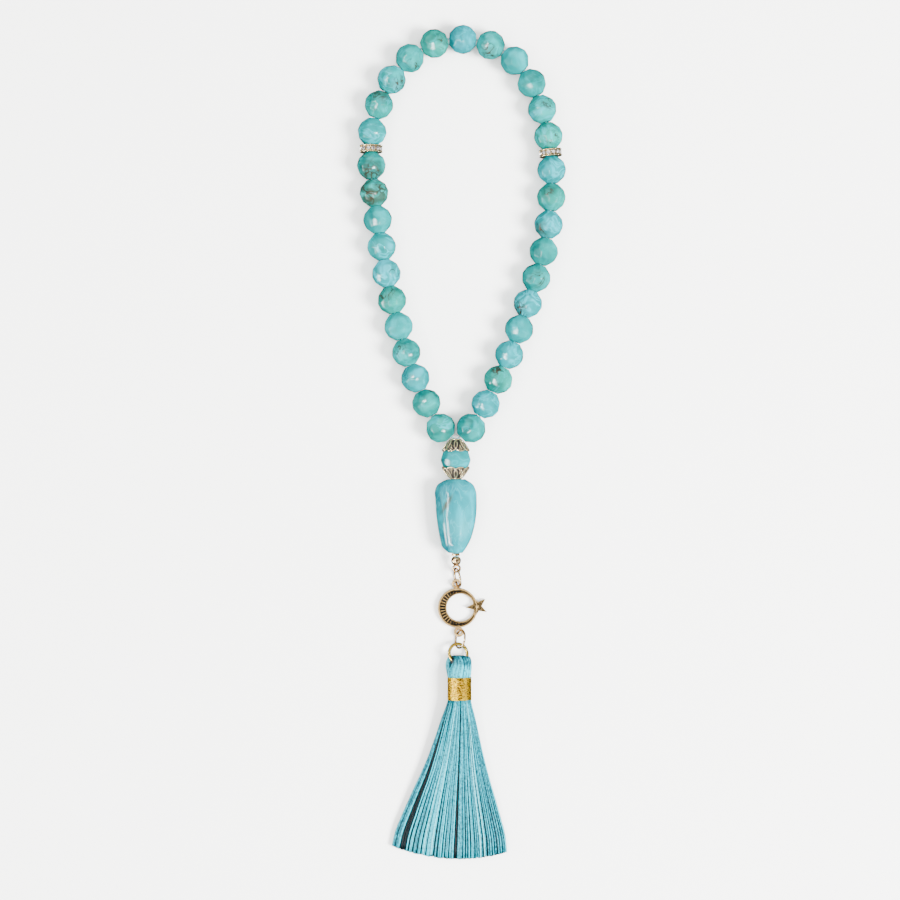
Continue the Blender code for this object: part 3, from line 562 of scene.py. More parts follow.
# Below its top, middle, half width, half depth
IMAM_SECTIONS = (
    (-0.4, 0.1, 3.3, 2.8), (1.1, -0.1, 5.9, 4.1), (3.2, -0.1, 7.1, 4.9), (6.8, 0.1, 7.3, 5.2),
    (10.3, 0.2, 7.2, 5.2), (13.8, 0.2, 6.9, 5.1), (17.3, 0.1, 6.3, 4.8), (20.8, -0.1, 5.4, 4.3),
    (23.5, -0.4, 4.2, 3.6), (25.3, 0.0, 2.5, 2.5),
)


def imam_outline():
    """Turn and reach of the points around it: between an eight-sided outline and a round one."""
    half_side = math.pi / IMAM_SIDES
    for k in range(IMAM_SIDES * IMAM_STEPS):
        along = (k % IMAM_STEPS) * 2 * half_side / IMAM_STEPS - half_side
        flat = math.cos(half_side) / math.cos(along)
        yield half_side + 2 * half_side * k / IMAM_STEPS, flat + (1 - flat) * IMAM_ROUNDING


def make_imam():
    length = IMAM_SECTIONS[-1][0]
    _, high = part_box("imam_bead")
    place = spot("imam_bead_spin")
    outline = list(imam_outline())
    stops = np.array([row[0] for row in IMAM_SECTIONS])
    ease = np.linspace(0, len(stops) - 1, IMAM_ROWS)
    rows = []
    for below in np.interp(ease, np.arange(len(stops)), stops):
        middle, wide, deep = (float(soft_between(IMAM_SECTIONS, below, c)) for c in (1, 2, 3))
        turn = IMAM_REST_TURN + IMAM_TOP_TURN * (1 - max(below, 0.0) / length) ** 2.2
        rows.append([(middle + reach * wide * math.cos(a + turn), -below,
                      reach * deep * math.sin(a + turn)) for a, reach in outline])
    bores = [[(IMAM_BORE * math.cos(a), y, IMAM_BORE * math.sin(a)) for a, _ in outline]
             for y in (-stops[0], -length)]
    obj = link("imam_bead_resin", grid_mesh("imam_bead_resin", [bores[0], *rows, bores[1]], over=True))
    obj.location = (place.x, high.y, place.z)
    bevel(obj, IMAM_EDGE * MM, 4)
    piece(obj, imam_marble("imam bead resin"), "imam_bead", "imam_resin", "imam_bead")


# Petal caps: one cap has its apex at the origin and its axis along Z, in millimetres
CAP_OUTLINE = ((0.0, 1.5), (0.75, 2.7), (2.3, 4.0), (4.3, 5.1))     # below the apex, radius
CAP_PETALS = 8
CAP_WIRE = 0.21
# One side of a petal's loop: how far down the bell, and how far across, as a share of a petal
PETAL_SIDE = ((0.84, 0.0), (0.74, 0.05), (0.64, 0.13), (0.5, 0.2), (0.34, 0.2), (0.2, 0.12),
              (0.08, 0.02))
SHELL_STEPS = (0.05, 0.2, 0.4, 0.6, 0.8, 1.0)


def on_cap(down, turn, inside=0.0):
    """A point on the bell: down is 0 at the apex and 1 at the rim."""
    below = down * CAP_OUTLINE[-1][0]
    radius = float(between(CAP_OUTLINE, below, 1)) - inside
    return Vector((radius * math.cos(turn), radius * math.sin(turn), -below - 0.3 * inside))


def rim_down(turn):
    """The scalloped rim: how far down the bell it lies at an angle."""
    across = ((turn * CAP_PETALS / (2 * math.pi)) % 1.0) * 2 - 1
    return 0.99 - 0.17 * across ** 2


def wire_along(name, points, radius, closed=False, sides=8):
    """Round wire along points, as one closed shell."""
    curve = bpy.data.curves.new(name, "CURVE")
    curve.dimensions = "3D"
    curve.bevel_depth = radius * MM
    curve.bevel_resolution = sides // 2 - 2
    curve.use_fill_caps = True
    spline = curve.splines.new("POLY")
    spline.points.add(len(points) - 1)
    spline.use_cyclic_u = closed
    for target, point in zip(spline.points, points):
        target.co = (*(Vector(point) * MM), 1.0)
    obj = bpy.data.objects.new(name, curve)
    mesh = bpy.data.meshes.new_from_object(obj)
    bpy.data.objects.remove(obj)
    bpy.data.curves.remove(curve)
    return mesh


def cap_wires():
    """The points, the radius and whether it closes, of each wire in a cap."""
    step = 2 * math.pi / CAP_PETALS
    inside = CAP_WIRE + 0.02
    yield [on_cap(rim_down(turn), turn, inside) for turn in turns(192)], CAP_WIRE, True
    yield [on_cap(0.05, turn, inside) for turn in turns(48)], CAP_WIRE * 1.1, True
    for index in range(CAP_PETALS):
        edge = step * index
        middle = edge + step / 2
        for side in (-1, 1):
            yield [on_cap(down, edge + side * step * lean, inside)
                   for down, lean in PETAL_SIDE], CAP_WIRE * 0.85, False
        curl = [on_cap(0.8 + 0.075 * math.cos(a), middle + 0.13 * step * math.sin(a), inside)
                for a in turns(12)]
        yield curl, CAP_WIRE * 0.7, True
        yield [on_cap(down, middle, inside) for down in (0.73, 0.6, 0.48)], CAP_WIRE * 0.6, False


def make_cap(node, look, dark):
    where = facing(axis(f"{node}_spin"), spot(f"{node}_spin"))
    wires = [(wire_along("wire", *wire), Matrix()) for wire in cap_wires()]
    obj = link(f"{node}_wires", join_meshes(f"{node}_wires", wires), where)
    piece(obj, look, node, "filigree", node)
    # The shell beneath the wires is near black and not metal: painted shade, seen through the gaps
    # between the wires.
    walls = [(share, 0.36) for share in SHELL_STEPS] + [(share, 0.5) for share in SHELL_STEPS[::-1]]
    rows = [[on_cap(share * (rim_down(turn) - 0.03), turn, inside) for share, inside in walls]
            for turn in turns(96)]
    obj = link(f"{node}_shell", grid_mesh(f"{node}_shell", rows, over=True), where)
    piece(obj, dark, node, "filigree", node)


# Rondelles: one has its middle at the origin and its axis along Z, in millimetres
RONDELLE_STONES = 12
STONE_FROM_AXIS = 3.5
STONE_OUTLINE = (                # radius, height, turn as a share of a facet
    (0.40, 0.36, 0), (0.68, 0.10, 0.5), (0.70, 0.0, 0.5), (0.42, -0.28, 0), (0.1, -0.5, 0),
)
SPOOL_OUTLINE = (                # radius, height, from the lower side to the middle
    (0.75, -1.0), (0.85, -1.12), (3.2, -1.12), (3.35, -1.3), (3.75, -1.3), (3.92, -1.16),
    (3.92, -0.92), (3.7, -0.8), (3.3, -0.72), (3.05, -0.6), (3.0, 0.0),
)
GRAIN_RADIUS = 0.17
GRAIN_RINGS = ((40, 0.0, 3.84, 1.06), (RONDELLE_STONES, 0.5, 3.72, 0.62))   # count, turn, radius, height


def stone_mesh():
    """A small cut stone, with its table facing Z."""
    rows = [[(radius * math.cos(a), radius * math.sin(a), height) for a in turns(8, shift)]
            for radius, height, shift in STONE_OUTLINE]
    mesh = grid_mesh("stone", rows)
    mesh.shade_flat()
    return mesh


def make_rondelle(node, metal, stones):
    where = facing(axis(f"{node}_spin"), spot(f"{node}_spin"))
    parts = [(turned_mesh("spool", mirrored(SPOOL_OUTLINE), 96), Matrix())]
    grain = bpy.data.meshes.new("grain")
    bm = bmesh.new()
    bmesh.ops.create_uvsphere(bm, u_segments=10, v_segments=6, radius=GRAIN_RADIUS * MM)
    bm.to_mesh(grain)
    bm.free()
    for side in (-1, 1):
        for count, shift, radius, height in GRAIN_RINGS:
            for turn in turns(count, shift):
                place = Vector((radius * math.cos(turn), radius * math.sin(turn), side * height))
                parts.append((grain, Matrix.Translation(place * MM)))
    obj = link(f"{node}_metal", join_meshes(f"{node}_metal", parts), where)
    piece(obj, metal, node, "rondelle", node)
    gems = []
    for turn in turns(RONDELLE_STONES):
        out = (math.cos(turn), math.sin(turn), 0.0)
        gems.append((stone_mesh(), facing(out, Vector(out) * STONE_FROM_AXIS * MM, (0, 0, 1))))
    mesh = join_meshes(f"{node}_stones", gems)
    mesh.shade_flat()
    piece(link(f"{node}_stones", mesh, where), stones, node, "rondelle", node)


# Crescent and star, seen from above, in millimetres
CRESCENT_CENTRE = (-1.3, -57.7)
CRESCENT_RADIUS = 6.95
CRESCENT_FLOOR = 1.18            # the height between its raised edges
RIM_WIDTH = 0.56                 # the raised outer edge
LIP_WIDTH = 0.4                  # the raised inner edge
RIBS = 34                        # all round, if they went all round
RIB_HEIGHT = 0.42
RIBS_FROM = 0.78                 # how far in from the outer edge they begin
RIBBED_WIDTH = 1.9               # a narrower stretch has no ribs
DOT_PITCH = 0.7
DOTTED_FROM = (130, 235)         # above and below these angles, the ribs break up into dots
HOLE_CENTRE = (-0.35, -57.6)
HOLE_RADIUS = 4.85
STAR_CENTRE = (5.5, -57.2)
STAR_POINT = 3.85
STAR_NOTCH = 1.6
STAR_TURN = math.radians(6.0)
STAR_STEPS = 8                   # points along each of its ten edges
# Share of the star's size, height, how dark
STAR_LAYERS = (
    (1.0, 0.0, 0.3), (1.0, 1.75, 0.1), (0.97, 1.95, 0.0), (0.87, 1.97, 0.0), (0.83, 1.70, 1.0),
    (0.68, 1.66, 1.0), (0.64, 1.95, 0.5), (0.54, 1.97, 0.5), (0.50, 1.72, 1.0), (0.36, 1.72, 1.0),
    (0.31, 2.0, 0.5), (0.1, 2.18, 0.3),
)
EYES = (((-1.7, -49.2), -1), ((-0.9, -66.15), 1))
EYE_RADIUS = 1.3
EYE_WIRE = 0.47
EYE_LEVEL = 1.1
EYE_TILT = math.radians(12.0)
EYE_NECK = ((0.1, 1.0), (0.5, 0.95), (0.9, 0.9))        # out from the eye, height
NECK_RADIUS = 0.62


def inner_radius(turn):
    """From the crescent's centre to the edge of its hole."""
    off = np.array(HOLE_CENTRE) - np.array(CRESCENT_CENTRE)
    along = off[0] * math.cos(turn) + off[1] * math.sin(turn)
    return along + math.sqrt(HOLE_RADIUS ** 2 - off @ off + along ** 2)


def crescent_top(turn, width, full):
    """Height, and how dark, at a width in from the outer edge, where the band is full wide."""
    if width < RIM_WIDTH:
        crest = 1 - (2 * width / RIM_WIDTH - 1) ** 2
        return 1.45 + 0.5 * math.sqrt(max(crest, 0.0)), 0.0
    if width > full - LIP_WIDTH:
        crest = 1 - (2 * (width - full) / LIP_WIDTH + 1) ** 2
        return 1.3 + 0.35 * math.sqrt(max(crest, 0.0)), 0.15
    if full < RIBBED_WIDTH or width < RIBS_FROM or width > full - LIP_WIDTH - 0.1:
        return CRESCENT_FLOOR, 0.9
    around = math.degrees(turn) % 360
    rib = 0.5 + 0.5 * math.cos(RIBS * turn)
    dot = 0.5 + 0.5 * math.cos(2 * math.pi * (width - RIBS_FROM) / DOT_PITCH)
    dotted = min(max((DOTTED_FROM[0] - around) / 20, (around - DOTTED_FROM[1]) / 20, 0.0), 1.0)
    relief = rib ** 1.3 * (1 - dotted * (1 - dot))
    return CRESCENT_FLOOR + RIB_HEIGHT * relief, min(0.2 + 1.9 * (1 - relief), 1.0)


def crescent_mesh():
    steps, across = 832, 44
    rows, patina_and_shade = [], []
    for turn in turns(steps):
        inner = inner_radius(turn)
        full = CRESCENT_RADIUS - inner
        row, dark = [], []
        for col in range(across + 1):
            width = full * col / across
            height, shade = crescent_top(turn, width, full)
            row.append((CRESCENT_RADIUS - width, height))
            dark.append(shade)
        row = [(CRESCENT_RADIUS - 0.1, 0.0), (CRESCENT_RADIUS, 0.15), *row, (inner, 0.15),
               (inner + 0.1, 0.0)]
        patina_and_shade += [0.3, 0.1, *dark, 0.5, 0.3]
        rows.append([(CRESCENT_CENTRE[0] + radius * math.cos(turn),
                      CRESCENT_CENTRE[1] + radius * math.sin(turn), height) for radius, height in row])
    return with_patina_and_shade(grid_mesh("crescent", rows, over=True), patina_and_shade)


def with_patina_and_shade(mesh, values):
    """Marks how dark each point is, for antiqued metal: the patina in its recesses and, on the eyes'
    wires, painted shade.
    """
    mark = mesh.attributes.new("patina_and_shade", "FLOAT", "POINT")
    mark.data.foreach_set("value", values)
    return mesh


def star_corner(index):
    """One of its five points and five notches, in turn."""
    reach = STAR_NOTCH if index % 2 else STAR_POINT
    turn = math.pi + STAR_TURN + math.pi * index / 5
    return np.array((reach * math.cos(turn), reach * math.sin(turn)))


def star_mesh():
    """Stepped star: its outline, drawn in and up to a raised middle."""
    outline = [star_corner(corner) * (1 - step / STAR_STEPS) + star_corner(corner + 1) * step / STAR_STEPS
               for corner in range(10) for step in range(STAR_STEPS)]
    rows = [[(STAR_CENTRE[0] + scale * x, STAR_CENTRE[1] + scale * y, height) for x, y in outline]
            for scale, height, _ in STAR_LAYERS]
    dark = [layer[2] for layer in STAR_LAYERS for _ in outline]
    return with_patina_and_shade(grid_mesh("star", rows), dark)


def make_crescent(look):
    parts = [(crescent_mesh(), Matrix()), (star_mesh(), Matrix())]
    for (x, y), side in EYES:
        tilt = (0.0, side * math.sin(EYE_TILT), math.cos(EYE_TILT))
        eye = wire_ring("eye", EYE_RADIUS, EYE_WIRE)
        # Painted shade: the lower part of each eye's wire is marked dark, so that seen from above its
        # sides read as dark outlines.
        with_patina_and_shade(eye, [0.95 if vert.co.z < 0.3 * EYE_WIRE * MM else 0.0 for vert in eye.vertices])
        parts.append((eye, facing(tilt, Vector((x, y, EYE_LEVEL)) * MM)))
        points = [(x, y + side * (EYE_RADIUS + out), height) for out, height in EYE_NECK]
        neck = wire_along("neck", points, NECK_RADIUS)
        parts.append((with_patina_and_shade(neck, [0.35] * len(neck.vertices)), Matrix()))
    obj = link("crescent_star_metal", join_meshes("crescent_star_metal", parts))
    obj.data.set_sharp_from_angle(angle=math.radians(50))
    piece(obj, look, "crescent_star", "antique_gold", "crescent_star")


# Rings, crimp and knot cover, in millimetres
CORD_END = Vector((-2.0, -38.2, 5.2))       # the imam's lower end
COVER_FROM_END = 2.8
COVER_RADIUS = 1.7
COVER_HOLE = 0.95
COVER_WALL = 0.3
SEAM_DEPTH = 0.12
SEAM_WIDTH = 0.09
# The crimp ring's section: radius, height, from its lower side to its middle
CRIMP_OUTLINE = ((0.97, -0.3), (1.05, -0.4), (1.3, -0.4), (1.42, -0.28), (1.36, -0.1), (1.34, 0.0))
CRIMP_FROM_END = 0.6
LOOP_RADIUS = 1.2
LOOP_WIRE = 0.38
JUMP_WIRE = 0.36
UPPER_JUMP_RADIUS = 3.3
LOWER_JUMP_RADIUS = 3.1
TASSEL_RING_RADIUS = 3.45
TASSEL_RING_WIRE = 0.55


def cover_mesh():
    """A thin ball in two halves, open towards -Z, with a seam where the halves meet."""
    rows = []
    opening = math.asin(COVER_HOLE / COVER_RADIUS)
    for turn in turns(96):
        row = []
        for k in range(40):
            tip = (math.pi - opening) * k / 39
            apart = COVER_RADIUS * math.sin(tip) * abs(math.sin(turn))
            seam = SEAM_DEPTH * math.exp(-(apart / SEAM_WIDTH) ** 2) if k > 2 else 0.0
            radius = COVER_RADIUS - seam
            row.append((radius * math.sin(tip) + 0.002, radius * math.cos(tip)))
        row += [(r - COVER_WALL * r / COVER_RADIUS, h * 0.82) for r, h in reversed(row[3:])]
        rows.append([(r * math.cos(turn), r * math.sin(turn), h) for r, h in row])
    return grid_mesh("cover", rows, over=True)


def make_links(pale, yellow):
    loop_place = spot("upper_jump_ring_sway")
    along = (loop_place - CORD_END * MM).normalized()
    middle = CORD_END * MM + along * COVER_FROM_END * MM
    parts = [(cover_mesh(), facing(along, middle)),
             (wire_ring("loop", LOOP_RADIUS, LOOP_WIRE),
              facing(axis("upper_jump_ring_sway"), loop_place))]
    obj = link("knot_cover_metal", join_meshes("knot_cover_metal", parts))
    piece(obj, pale, "string", "pale_gold", "knot_cover")
    place = facing((0, 1, 0), (CORD_END - Vector((0, CRIMP_FROM_END, 0))) * MM)
    obj = link("crimp_ring_metal", turned_mesh("crimp_ring_metal", mirrored(CRIMP_OUTLINE)), place)
    piece(obj, pale, "string", "pale_gold", "crimp_ring")
    for node, radius, centre in (("upper_jump_ring", UPPER_JUMP_RADIUS, "crescent_swing"),
                                 ("lower_jump_ring", LOWER_JUMP_RADIUS, "tassel_ring_swing")):
        ring = wire_ring(f"{node}_metal", radius, JUMP_WIRE, cut=0.03)
        place = facing(axis(centre), spot(centre), (0, 0, -1))
        piece(link(f"{node}_metal", ring, place), pale, node, "pale_gold", node)
    ring = wire_ring("tassel_ring_metal", TASSEL_RING_RADIUS, TASSEL_RING_WIRE, around=96, across=20)
    obj = link("tassel_ring_metal", ring, facing(axis("tassel_sway"), spot("tassel_sway")))
    piece(obj, yellow, "tassel_ring", "yellow_gold", "tassel_ring")


def make_cord(look):
    """The string keeps its own shape. Its end knot is drawn as a turned and tucked cord."""
    frame["nodes"]["string"].data.materials[0] = look
    low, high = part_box("end_knot")
    points = [((0.42 + 0.22 * math.cos(3 * a)) * math.cos(2 * a),
               (0.42 + 0.22 * math.cos(3 * a)) * math.sin(2 * a), 0.36 * math.sin(3 * a))
              for a in turns(120)]
    obj = link("end_knot_cord", wire_along("end_knot_cord", points, 0.34, True, 12))
    obj.location = (low + high) / 2
    piece(obj, look, "string", "string_cord", "end_knot")


# Tassel, in millimetres
# Head: Y, middle, half width, level, half depth
HEAD_SECTIONS = (
    (-82.0, -0.7, 3.9, 4.2, 3.8), (-81.2, -0.7, 4.1, 4.2, 3.9), (-80.0, -0.9, 4.5, 4.1, 3.9),
    (-77.5, -1.0, 4.6, 4.0, 3.8), (-75.4, -1.0, 4.5, 4.0, 3.5), (-74.2, -0.8, 3.9, 4.1, 2.6),
    (-73.8, -0.6, 2.9, 4.1, 1.4),
)
# Y, left edge above the ring's wire, right edge, left edge beneath it
HEAD_EDGES = (
    (-82.0, -4.5, 3.1, -4.5), (-80.5, -4.9, 3.5, -4.9), (-79.0, -4.6, 3.65, -5.0),
    (-77.9, -3.8, 3.7, -4.6), (-76.0, -3.1, 3.65, -4.0), (-74.8, -2.8, 3.3, -3.6),
    (-73.8, -2.7, 2.8, -3.0),
)
HEAD_END_Y = -82.0
HEAD_TOP_Y = -74.0
HEAD_LEVEL = 4.15
HEAD_DEPTH = 3.75
HEAD_LAYERS = ((1.0, 40), (0.86, 34))       # share of the depth, threads
HEAD_TONES = (0.0, 0.4, 0.55, 0.65)
UNDER_WIRE_THREADS = 16
UNDER_WIRE_BULGE = ((-82.0, 0.3), (-80.0, 0.1), (-78.0, -0.15), (-76.5, -0.1), (-75.0, 0.3))
NECK_Y = (-88.5, -74.9)         # the hidden core from the band's lower edge up to the fold
# Skirt: share of its length, middle, half width, half depth
SKIRT_SECTIONS = (
    (0.0, -0.7, 4.1, 3.8), (0.03, -0.75, 4.5, 3.8), (0.12, -1.0, 6.0, 3.2),
    (0.25, -1.35, 7.9, 2.7), (0.38, -1.8, 9.9, 2.4), (0.51, -2.3, 12.2, 2.1),
    (0.64, -2.85, 14.8, 1.9), (0.77, -3.35, 17.3, 1.7), (0.90, -3.85, 19.6, 1.5),
    (1.0, -4.2, 20.5, 1.3),
)
SKIRT_TOP_Y = -89.3
SKIRT_END_Y = -145.8
SKIRT_LOWEST_SIDE = 0.2         # where the hem hangs lowest, from -1 at the left to 1
SKIRT_SIDE = 0.985              # how near to the skirt's edges its outer threads lie
BAND = (-0.7, 4.2)              # its middle, across and up
BAND_RADIUS = 3.98
BAND_TOP_Y = -81.5
BAND_BOTTOM_Y = -89.8
BAND_TURNS = 25
# Each layer: height within the bundle, share of threads followed by a gap, lowest and highest tone. The
# inner layers' tones are near black: painted shade in the gaps between the top threads.
SKIRT_LAYERS = (
    (0.97, 0.5, 0.45, 1.0), (0.6, 0.2, 0.0, 0.06), (0.2, 0.1, 0.0, 0.02), (-0.1, 0.1, 0.0, 0.02),
    (-0.55, 0.2, 0.0, 0.1), (-0.95, 0.35, 0.3, 0.8),
)
# The stray threads: near black for painted shade, near white for painted highlight.
STRAY_SHADE_AND_HIGHLIGHT_TONES = (0.0, 1.35)       # of the few dark and bright threads in the top layer
STRAY_SHARES = (0.93, 0.03, 0.04)


def hem_y(across):
    """The hem's Y, from -1 at its left end to 1 at its right."""
    side = across - SKIRT_LOWEST_SIDE
    left = 4.6 * (side / (1 + SKIRT_LOWEST_SIDE)) ** 2
    right = 2.5 * (side / (1 - SKIRT_LOWEST_SIDE)) ** 2
    return SKIRT_END_Y + np.where(side < 0, left, right)


def spaced(rng, gaps):
    """Threads side by side over the hem, from -1 to 1, in groups with gaps between them."""
    radii, places = [], [0.0]
    while places[-1] < 2 * SKIRT_SECTIONS[-1][2]:
        radii.append(rng.uniform(0.2, 0.27))
        gap = rng.uniform(0.35, 0.6) if rng.random() < gaps else 0.0
        places.append(places[-1] + 1.92 * radii[-1] + gap)
    places = np.array(places[:-1])
    return zip(radii, SKIRT_SIDE * (2 * places / places[-1] - 1))


def skirt_strands(rng):
    """Threads that leave the band in a bundle and fan out over the table."""
    share = np.linspace(0, 1, 22)
    middle, wide, deep = (soft_between(SKIRT_SECTIONS, share, column) for column in (1, 2, 3))
    level = deep + 0.3 * (1 - share)
    paths, radii, tones_and_shading = [], [], []
    for layer, (up, gaps, low, high) in enumerate(SKIRT_LAYERS):
        for radius, end in spaced(rng, gaps):
            start = np.clip(end + rng.normal(0, 0.03), -SKIRT_SIDE, SKIRT_SIDE)
            drift = np.sin(share * rng.uniform(1.5, 3.5) + rng.uniform(0, 6)) * rng.normal(0, 0.004)
            side = start + (end - start) * np.minimum(share * 2.0, 1) + drift
            side = np.clip(side, -SKIRT_SIDE, SKIRT_SIDE)
            lift = up * np.sqrt(np.maximum(1 - (side * 0.98) ** 2, 0.03)) + rng.normal(0, 0.03)
            last = hem_y(end) + abs(rng.normal(0, 0.3))
            height = np.clip(level + (deep - radius) * lift, radius + 0.02, None)
            y = SKIRT_TOP_Y + share * (last - SKIRT_TOP_Y)
            paths.append(np.stack((middle + (wide - radius) * side, y, height), -1))
            radii.append(radius * (0.36 + 0.64 * share ** 0.85))
            tone_and_shading = rng.uniform(low, high)
            # A few top threads take a stray tone, near black as painted shade and near white as painted
            # highlight.
            if layer == 0:
                tone_and_shading = rng.choice((tone_and_shading, *STRAY_SHADE_AND_HIGHLIGHT_TONES), p=STRAY_SHARES)
            tones_and_shading.append(np.full(len(share), tone_and_shading))
    return paths, radii, tones_and_shading


def skirt_core():
    """The hidden heart of the bundle, near black: painted shade, which keeps the gaps between threads
    dark.
    """
    rows = []
    for share in np.linspace(0.0, 0.93, 18):
        middle, wide, deep = (float(soft_between(SKIRT_SECTIONS, share, c)) for c in (1, 2, 3))
        row = []
        for a in turns(48):
            across = 0.9 * math.cos(a)
            y = SKIRT_TOP_Y + share * (float(hem_y(across)) - SKIRT_TOP_Y)
            row.append((middle + wide * across, y,
                        deep + 0.3 * (1 - share) + 0.35 * deep * math.sin(a)))
        rows.append(row)
    return grid_mesh("tassel_core", rows)


def fold(turn, top, level, deep):
    """Y and Z of a thread that runs up from the band, over a fold and back down beneath."""
    y = HEAD_END_Y + (top - HEAD_END_Y) * np.sin(turn)
    return y, level + deep * np.sign(np.cos(turn)) * np.abs(np.cos(turn)) ** 0.55


def head_strands(rng):
    """Threads folded through the ring, and a few at the left that pass under its wire."""
    paths, radii, tones_and_shading = [], [], []
    turn = np.linspace(0, np.pi, 30)
    above = turn < np.pi / 2
    for layer, count in HEAD_LAYERS:
        for index in range(count):
            across = (index + 0.5) / count + rng.normal(0, 0.006)
            radius = rng.uniform(0.17, 0.22)
            thick = HEAD_DEPTH * layer * math.sqrt(1 - (0.93 * (2 * across - 1)) ** 2)
            top = HEAD_TOP_Y - radius - 2 * max(across - 0.75, 0) - rng.uniform(0, 0.15)
            y, z = fold(turn, top, HEAD_LEVEL, thick - radius)
            left = np.where(above, between(HEAD_EDGES, y, 1), between(HEAD_EDGES, y, 3))
            right = between(HEAD_EDGES, y, 2)
            slant = 1.3 * np.clip((y + 78.0) / 4.0, 0, 1) ** 1.5 * (across * (1 - across)) * 4
            x = left + radius + (right - left - 2 * radius) * across - slant
            paths.append(np.stack((x, y, z), -1))
            radii.append(np.full(len(turn), radius))
            lit = np.clip((-76.2 - y - 1.6 * (across - 0.5)) / 2.2, 0, 1) * above
            tone_and_shading = rng.choice(HEAD_TONES) * (0.75 + 0.6 * lit) + 0.35 * lit
            tones_and_shading.append(np.clip(tone_and_shading, 0, 1))
    for share in (np.arange(UNDER_WIRE_THREADS) + 0.5) / UNDER_WIRE_THREADS:
        radius = rng.uniform(0.17, 0.21)
        y, z = fold(turn, -75.2 + 0.7 * share, 2.3, 1.2 - radius + 0.2 * share)
        bulge = between(UNDER_WIRE_BULGE, y, 1) - 0.35 * np.sin(3 * (y - HEAD_END_Y) / 7)
        paths.append(np.stack((-4.9 + bulge + 1.1 * share, y, z), -1))
        radii.append(np.full(len(turn), radius))
        tones_and_shading.append(np.full(len(turn), rng.uniform(0.5, 0.95)))
    return paths, radii, tones_and_shading


def band_thread(rng):
    """Metallic thread wound round the neck in a tight helix, a little uneven from turn to turn."""
    per_turn = 72
    count = BAND_TURNS * per_turn
    turn = 2 * np.pi * np.arange(count + 1) / per_turn
    radius = (BAND_TOP_Y - BAND_BOTTOM_Y) / (2 * BAND_TURNS) + 0.03
    y = np.linspace(BAND_TOP_Y - radius, BAND_BOTTOM_Y + radius, count + 1)
    wander = np.repeat(rng.normal(0, 0.05, BAND_TURNS + 1), per_turn)[:count + 1]
    crinkle = 0.04 * np.sin(turn * 9.3) + 0.03 * np.sin(turn * 15.1)
    out = BAND_RADIUS + wander * 0.6 + crinkle * 0.5
    path = np.stack((BAND[0] + out * np.cos(turn), y + crinkle, BAND[1] + out * np.sin(turn)), -1)
    side = np.cos(turn)
    # Painted highlights: two bright zones down the band, either side of its middle.
    shine = np.exp(-((side + 0.5) / 0.22) ** 2) + np.exp(-((side - 0.5) / 0.2) ** 2)
    return path[None], np.full((1, count + 1), radius), 0.3 + 0.45 * shine[None]


def neck_core():
    """The hidden heart of the head and neck, near black: painted shade in the gaps between its threads.
    """
    rows = []
    for y in np.linspace(*NECK_Y, 20):
        middle, wide, level, deep = (float(soft_between(HEAD_SECTIONS, y, c)) for c in (1, 2, 3, 4))
        rows.append([(middle + 0.62 * wide * math.cos(a), y, level + 0.6 * deep * math.sin(a))
                     for a in turns(40)])
    return grid_mesh("tassel_neck", rows)


def make_tassel(silk_look, shade_core_look, thread_look):
    rng = np.random.default_rng(12)
    for part, source in (("skirt", skirt_strands), ("head", head_strands)):
        paths, radii, tones_and_shading = source(rng)
        obj = link(f"tassel_{part}_silk", tubes(f"tassel_{part}_silk", paths, radii, tones_and_shading))
        piece(obj, silk_look, "tassel", "tassel_silk", "tassel_threads")
    piece(link("tassel_core", skirt_core()), shade_core_look, "tassel", "tassel_silk")
    piece(link("tassel_neck", neck_core()), shade_core_look, "tassel", "tassel_silk")
    path, radii, tones_and_shading = band_thread(rng)
    band = link("tassel_band_thread", tubes("tassel_band_thread", path, radii, tones_and_shading, 8))
    piece(band, thread_look, "tassel", "gold_thread", "tassel_band")


# Stage, in metres and watts
FLOOR_SIZE = 6.0
FLOOR_LEVEL = -0.15 * MM        # just clear of the undersides
# Name, place, length along Y and height, power, and the light that it leaves out
LAMPS = (
    ("overhead", (0.0, 0.3, 2.5), (2.0, 2.0), 92.0, "glossy"),
    ("key", (1.03, -0.28, 1.2), (0.6, 0.6), 150.0, "glossy"),
    ("window left", (-0.80, -0.12, 0.26), (0.60, 0.03), 4.0, ""),
    ("window upper left", (-0.42, -0.16, 0.72), (0.80, 0.03), 6.0, ""),
    ("glint left", (-0.80, -0.40, 0.15), (0.44, 0.09), 7.0, "diffuse"),
    ("glint above", (-0.34, -0.40, 0.76), (0.36, 0.08), 4.5, "diffuse"),
    ("window right", (0.42, -0.30, 0.72), (0.06, 0.04), 1.4, ""),
    ("window far", (-0.30, 0.42, 0.75), (0.07, 0.05), 1.2, ""),
)


def make_lamp(name, place, size, power, without):
    """A soft lamp that faces the origin."""
    data = bpy.data.lights.new(name, "AREA")
    data.shape = "RECTANGLE"
    data.size = size[0]
    data.size_y = size[1]
    data.energy = power
    lamp = link(name, data)
    lamp.location = place
    lamp.rotation_mode = "QUATERNION"
    lamp.rotation_quaternion = Vector(place).to_track_quat("Z", "Y")
    lamp.visible_glossy = without != "glossy"
    lamp.visible_diffuse = without != "diffuse"


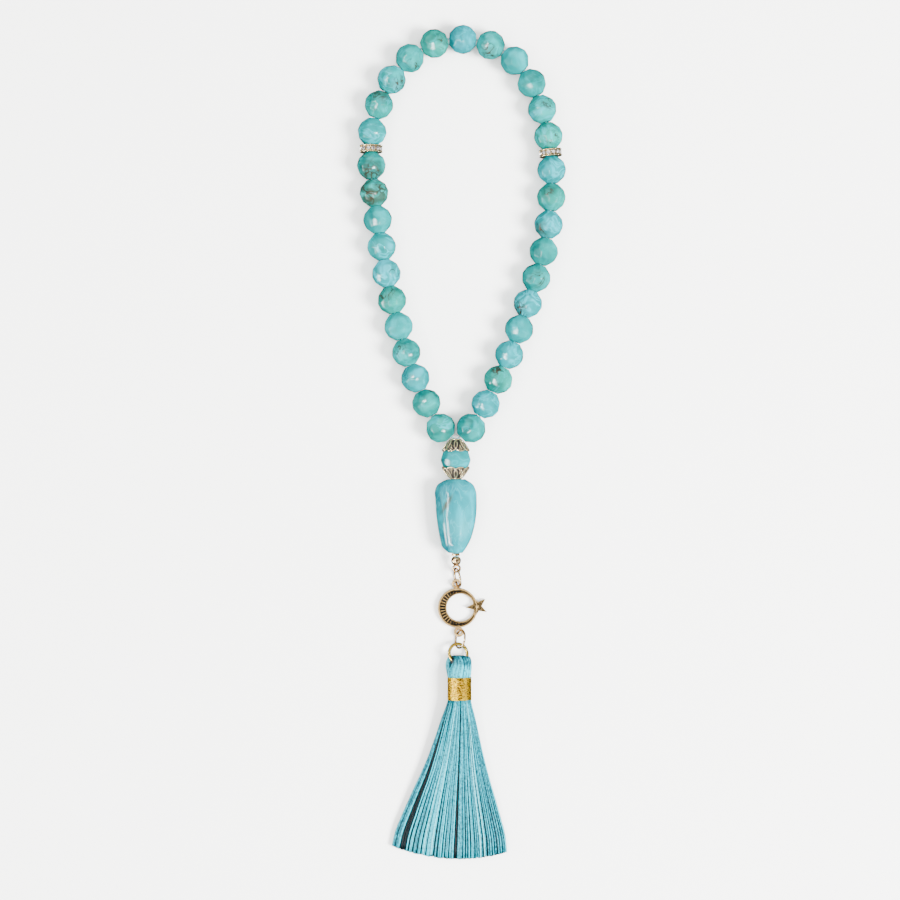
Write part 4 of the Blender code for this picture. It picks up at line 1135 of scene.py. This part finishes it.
def pale_room():
    """A room that is dim straight overhead and low down, and bright between, in soft patches."""
    world = bpy.data.worlds.new("pale room")
    bpy.context.scene.world = world
    world.use_nodes = True
    sky = Nodes(world.node_tree)
    way = sky.node("TexCoord").outputs["Generated"]
    up = sky.node("SeparateXYZ", {0: way}).outputs["Z"]
    ring = sky.math("MULTIPLY", sky.ramp(up, 0.0, 0.5), sky.ramp(up, 0.62, 0.94, 1.0, 0.06))
    patch = sky.ramp(sky.noise(way, 2.3, 1.0).outputs[0], 0.4, 0.62, 0.25, 2.4)
    background = sky.tree.nodes["Background"]
    sky.feed(background.inputs["Strength"], sky.math("ADD", sky.math("MULTIPLY", ring, patch), 0.10))
    background.inputs["Color"].default_value = (0.97, 0.985, 1.0, 1.0)


def make_stage():
    bpy.ops.mesh.primitive_plane_add(size=FLOOR_SIZE, location=(0, 0, FLOOR_LEVEL))
    floor = bpy.context.object
    floor.name = "floor"
    floor.data.materials.append(table_top("table top"))
    floor.visible_glossy = False
    pale_room()
    for lamp in LAMPS:
        make_lamp(*lamp)


def make_camera():
    data = bpy.data.cameras.new("camera")
    camera = link("camera", data)
    camera.location = VIEW_CENTRE + Vector((0, 0, CAMERA_HEIGHT))
    data.sensor_width = SENSOR_WIDTH
    data.lens = SENSOR_WIDTH * CAMERA_HEIGHT / VIEW_WIDTH
    bpy.context.scene.camera = camera


make_beads()
make_imam()
for place, brown in (("upper", rgb(60, 34, 8)), ("lower", rgb(74, 28, 16))):
    wire = gold(f"cap {place} wire", rgb(255, 236, 190), brown, 0.2, 1.0, metallic=0.9)
    # The shell's near-black colour is painted shade for the gaps in the filigree.
    shell = gold(f"cap {place} shell", rgb(24, 14, 7), rgb(8, 5, 2), 0.5, metallic=0.0)
    make_cap(f"cap_{place}", wire, shell)
for node in ("rondelle_left", "rondelle_right"):
    make_rondelle(node, gold(f"{node} rims", rgb(248, 226, 176), rgb(110, 84, 50), 0.2),
                  crystal(f"{node} crystal"))
make_crescent(gold("antique gold", rgb(202, 166, 106), rgb(8, 5, 2), 0.22, 2.5, 1.0, 0.6))
make_links(gold("pale gold", rgb(244, 208, 156), rgb(60, 32, 12), 0.2, 1.0),
           gold("yellow gold", rgb(226, 196, 96), rgb(150, 112, 36), 0.24))
make_cord(cord("string cord"))
make_tassel(silk("silk"), silk("painted shade silk", 0.1), metallic_thread("metallic thread"))
make_stage()
make_camera()
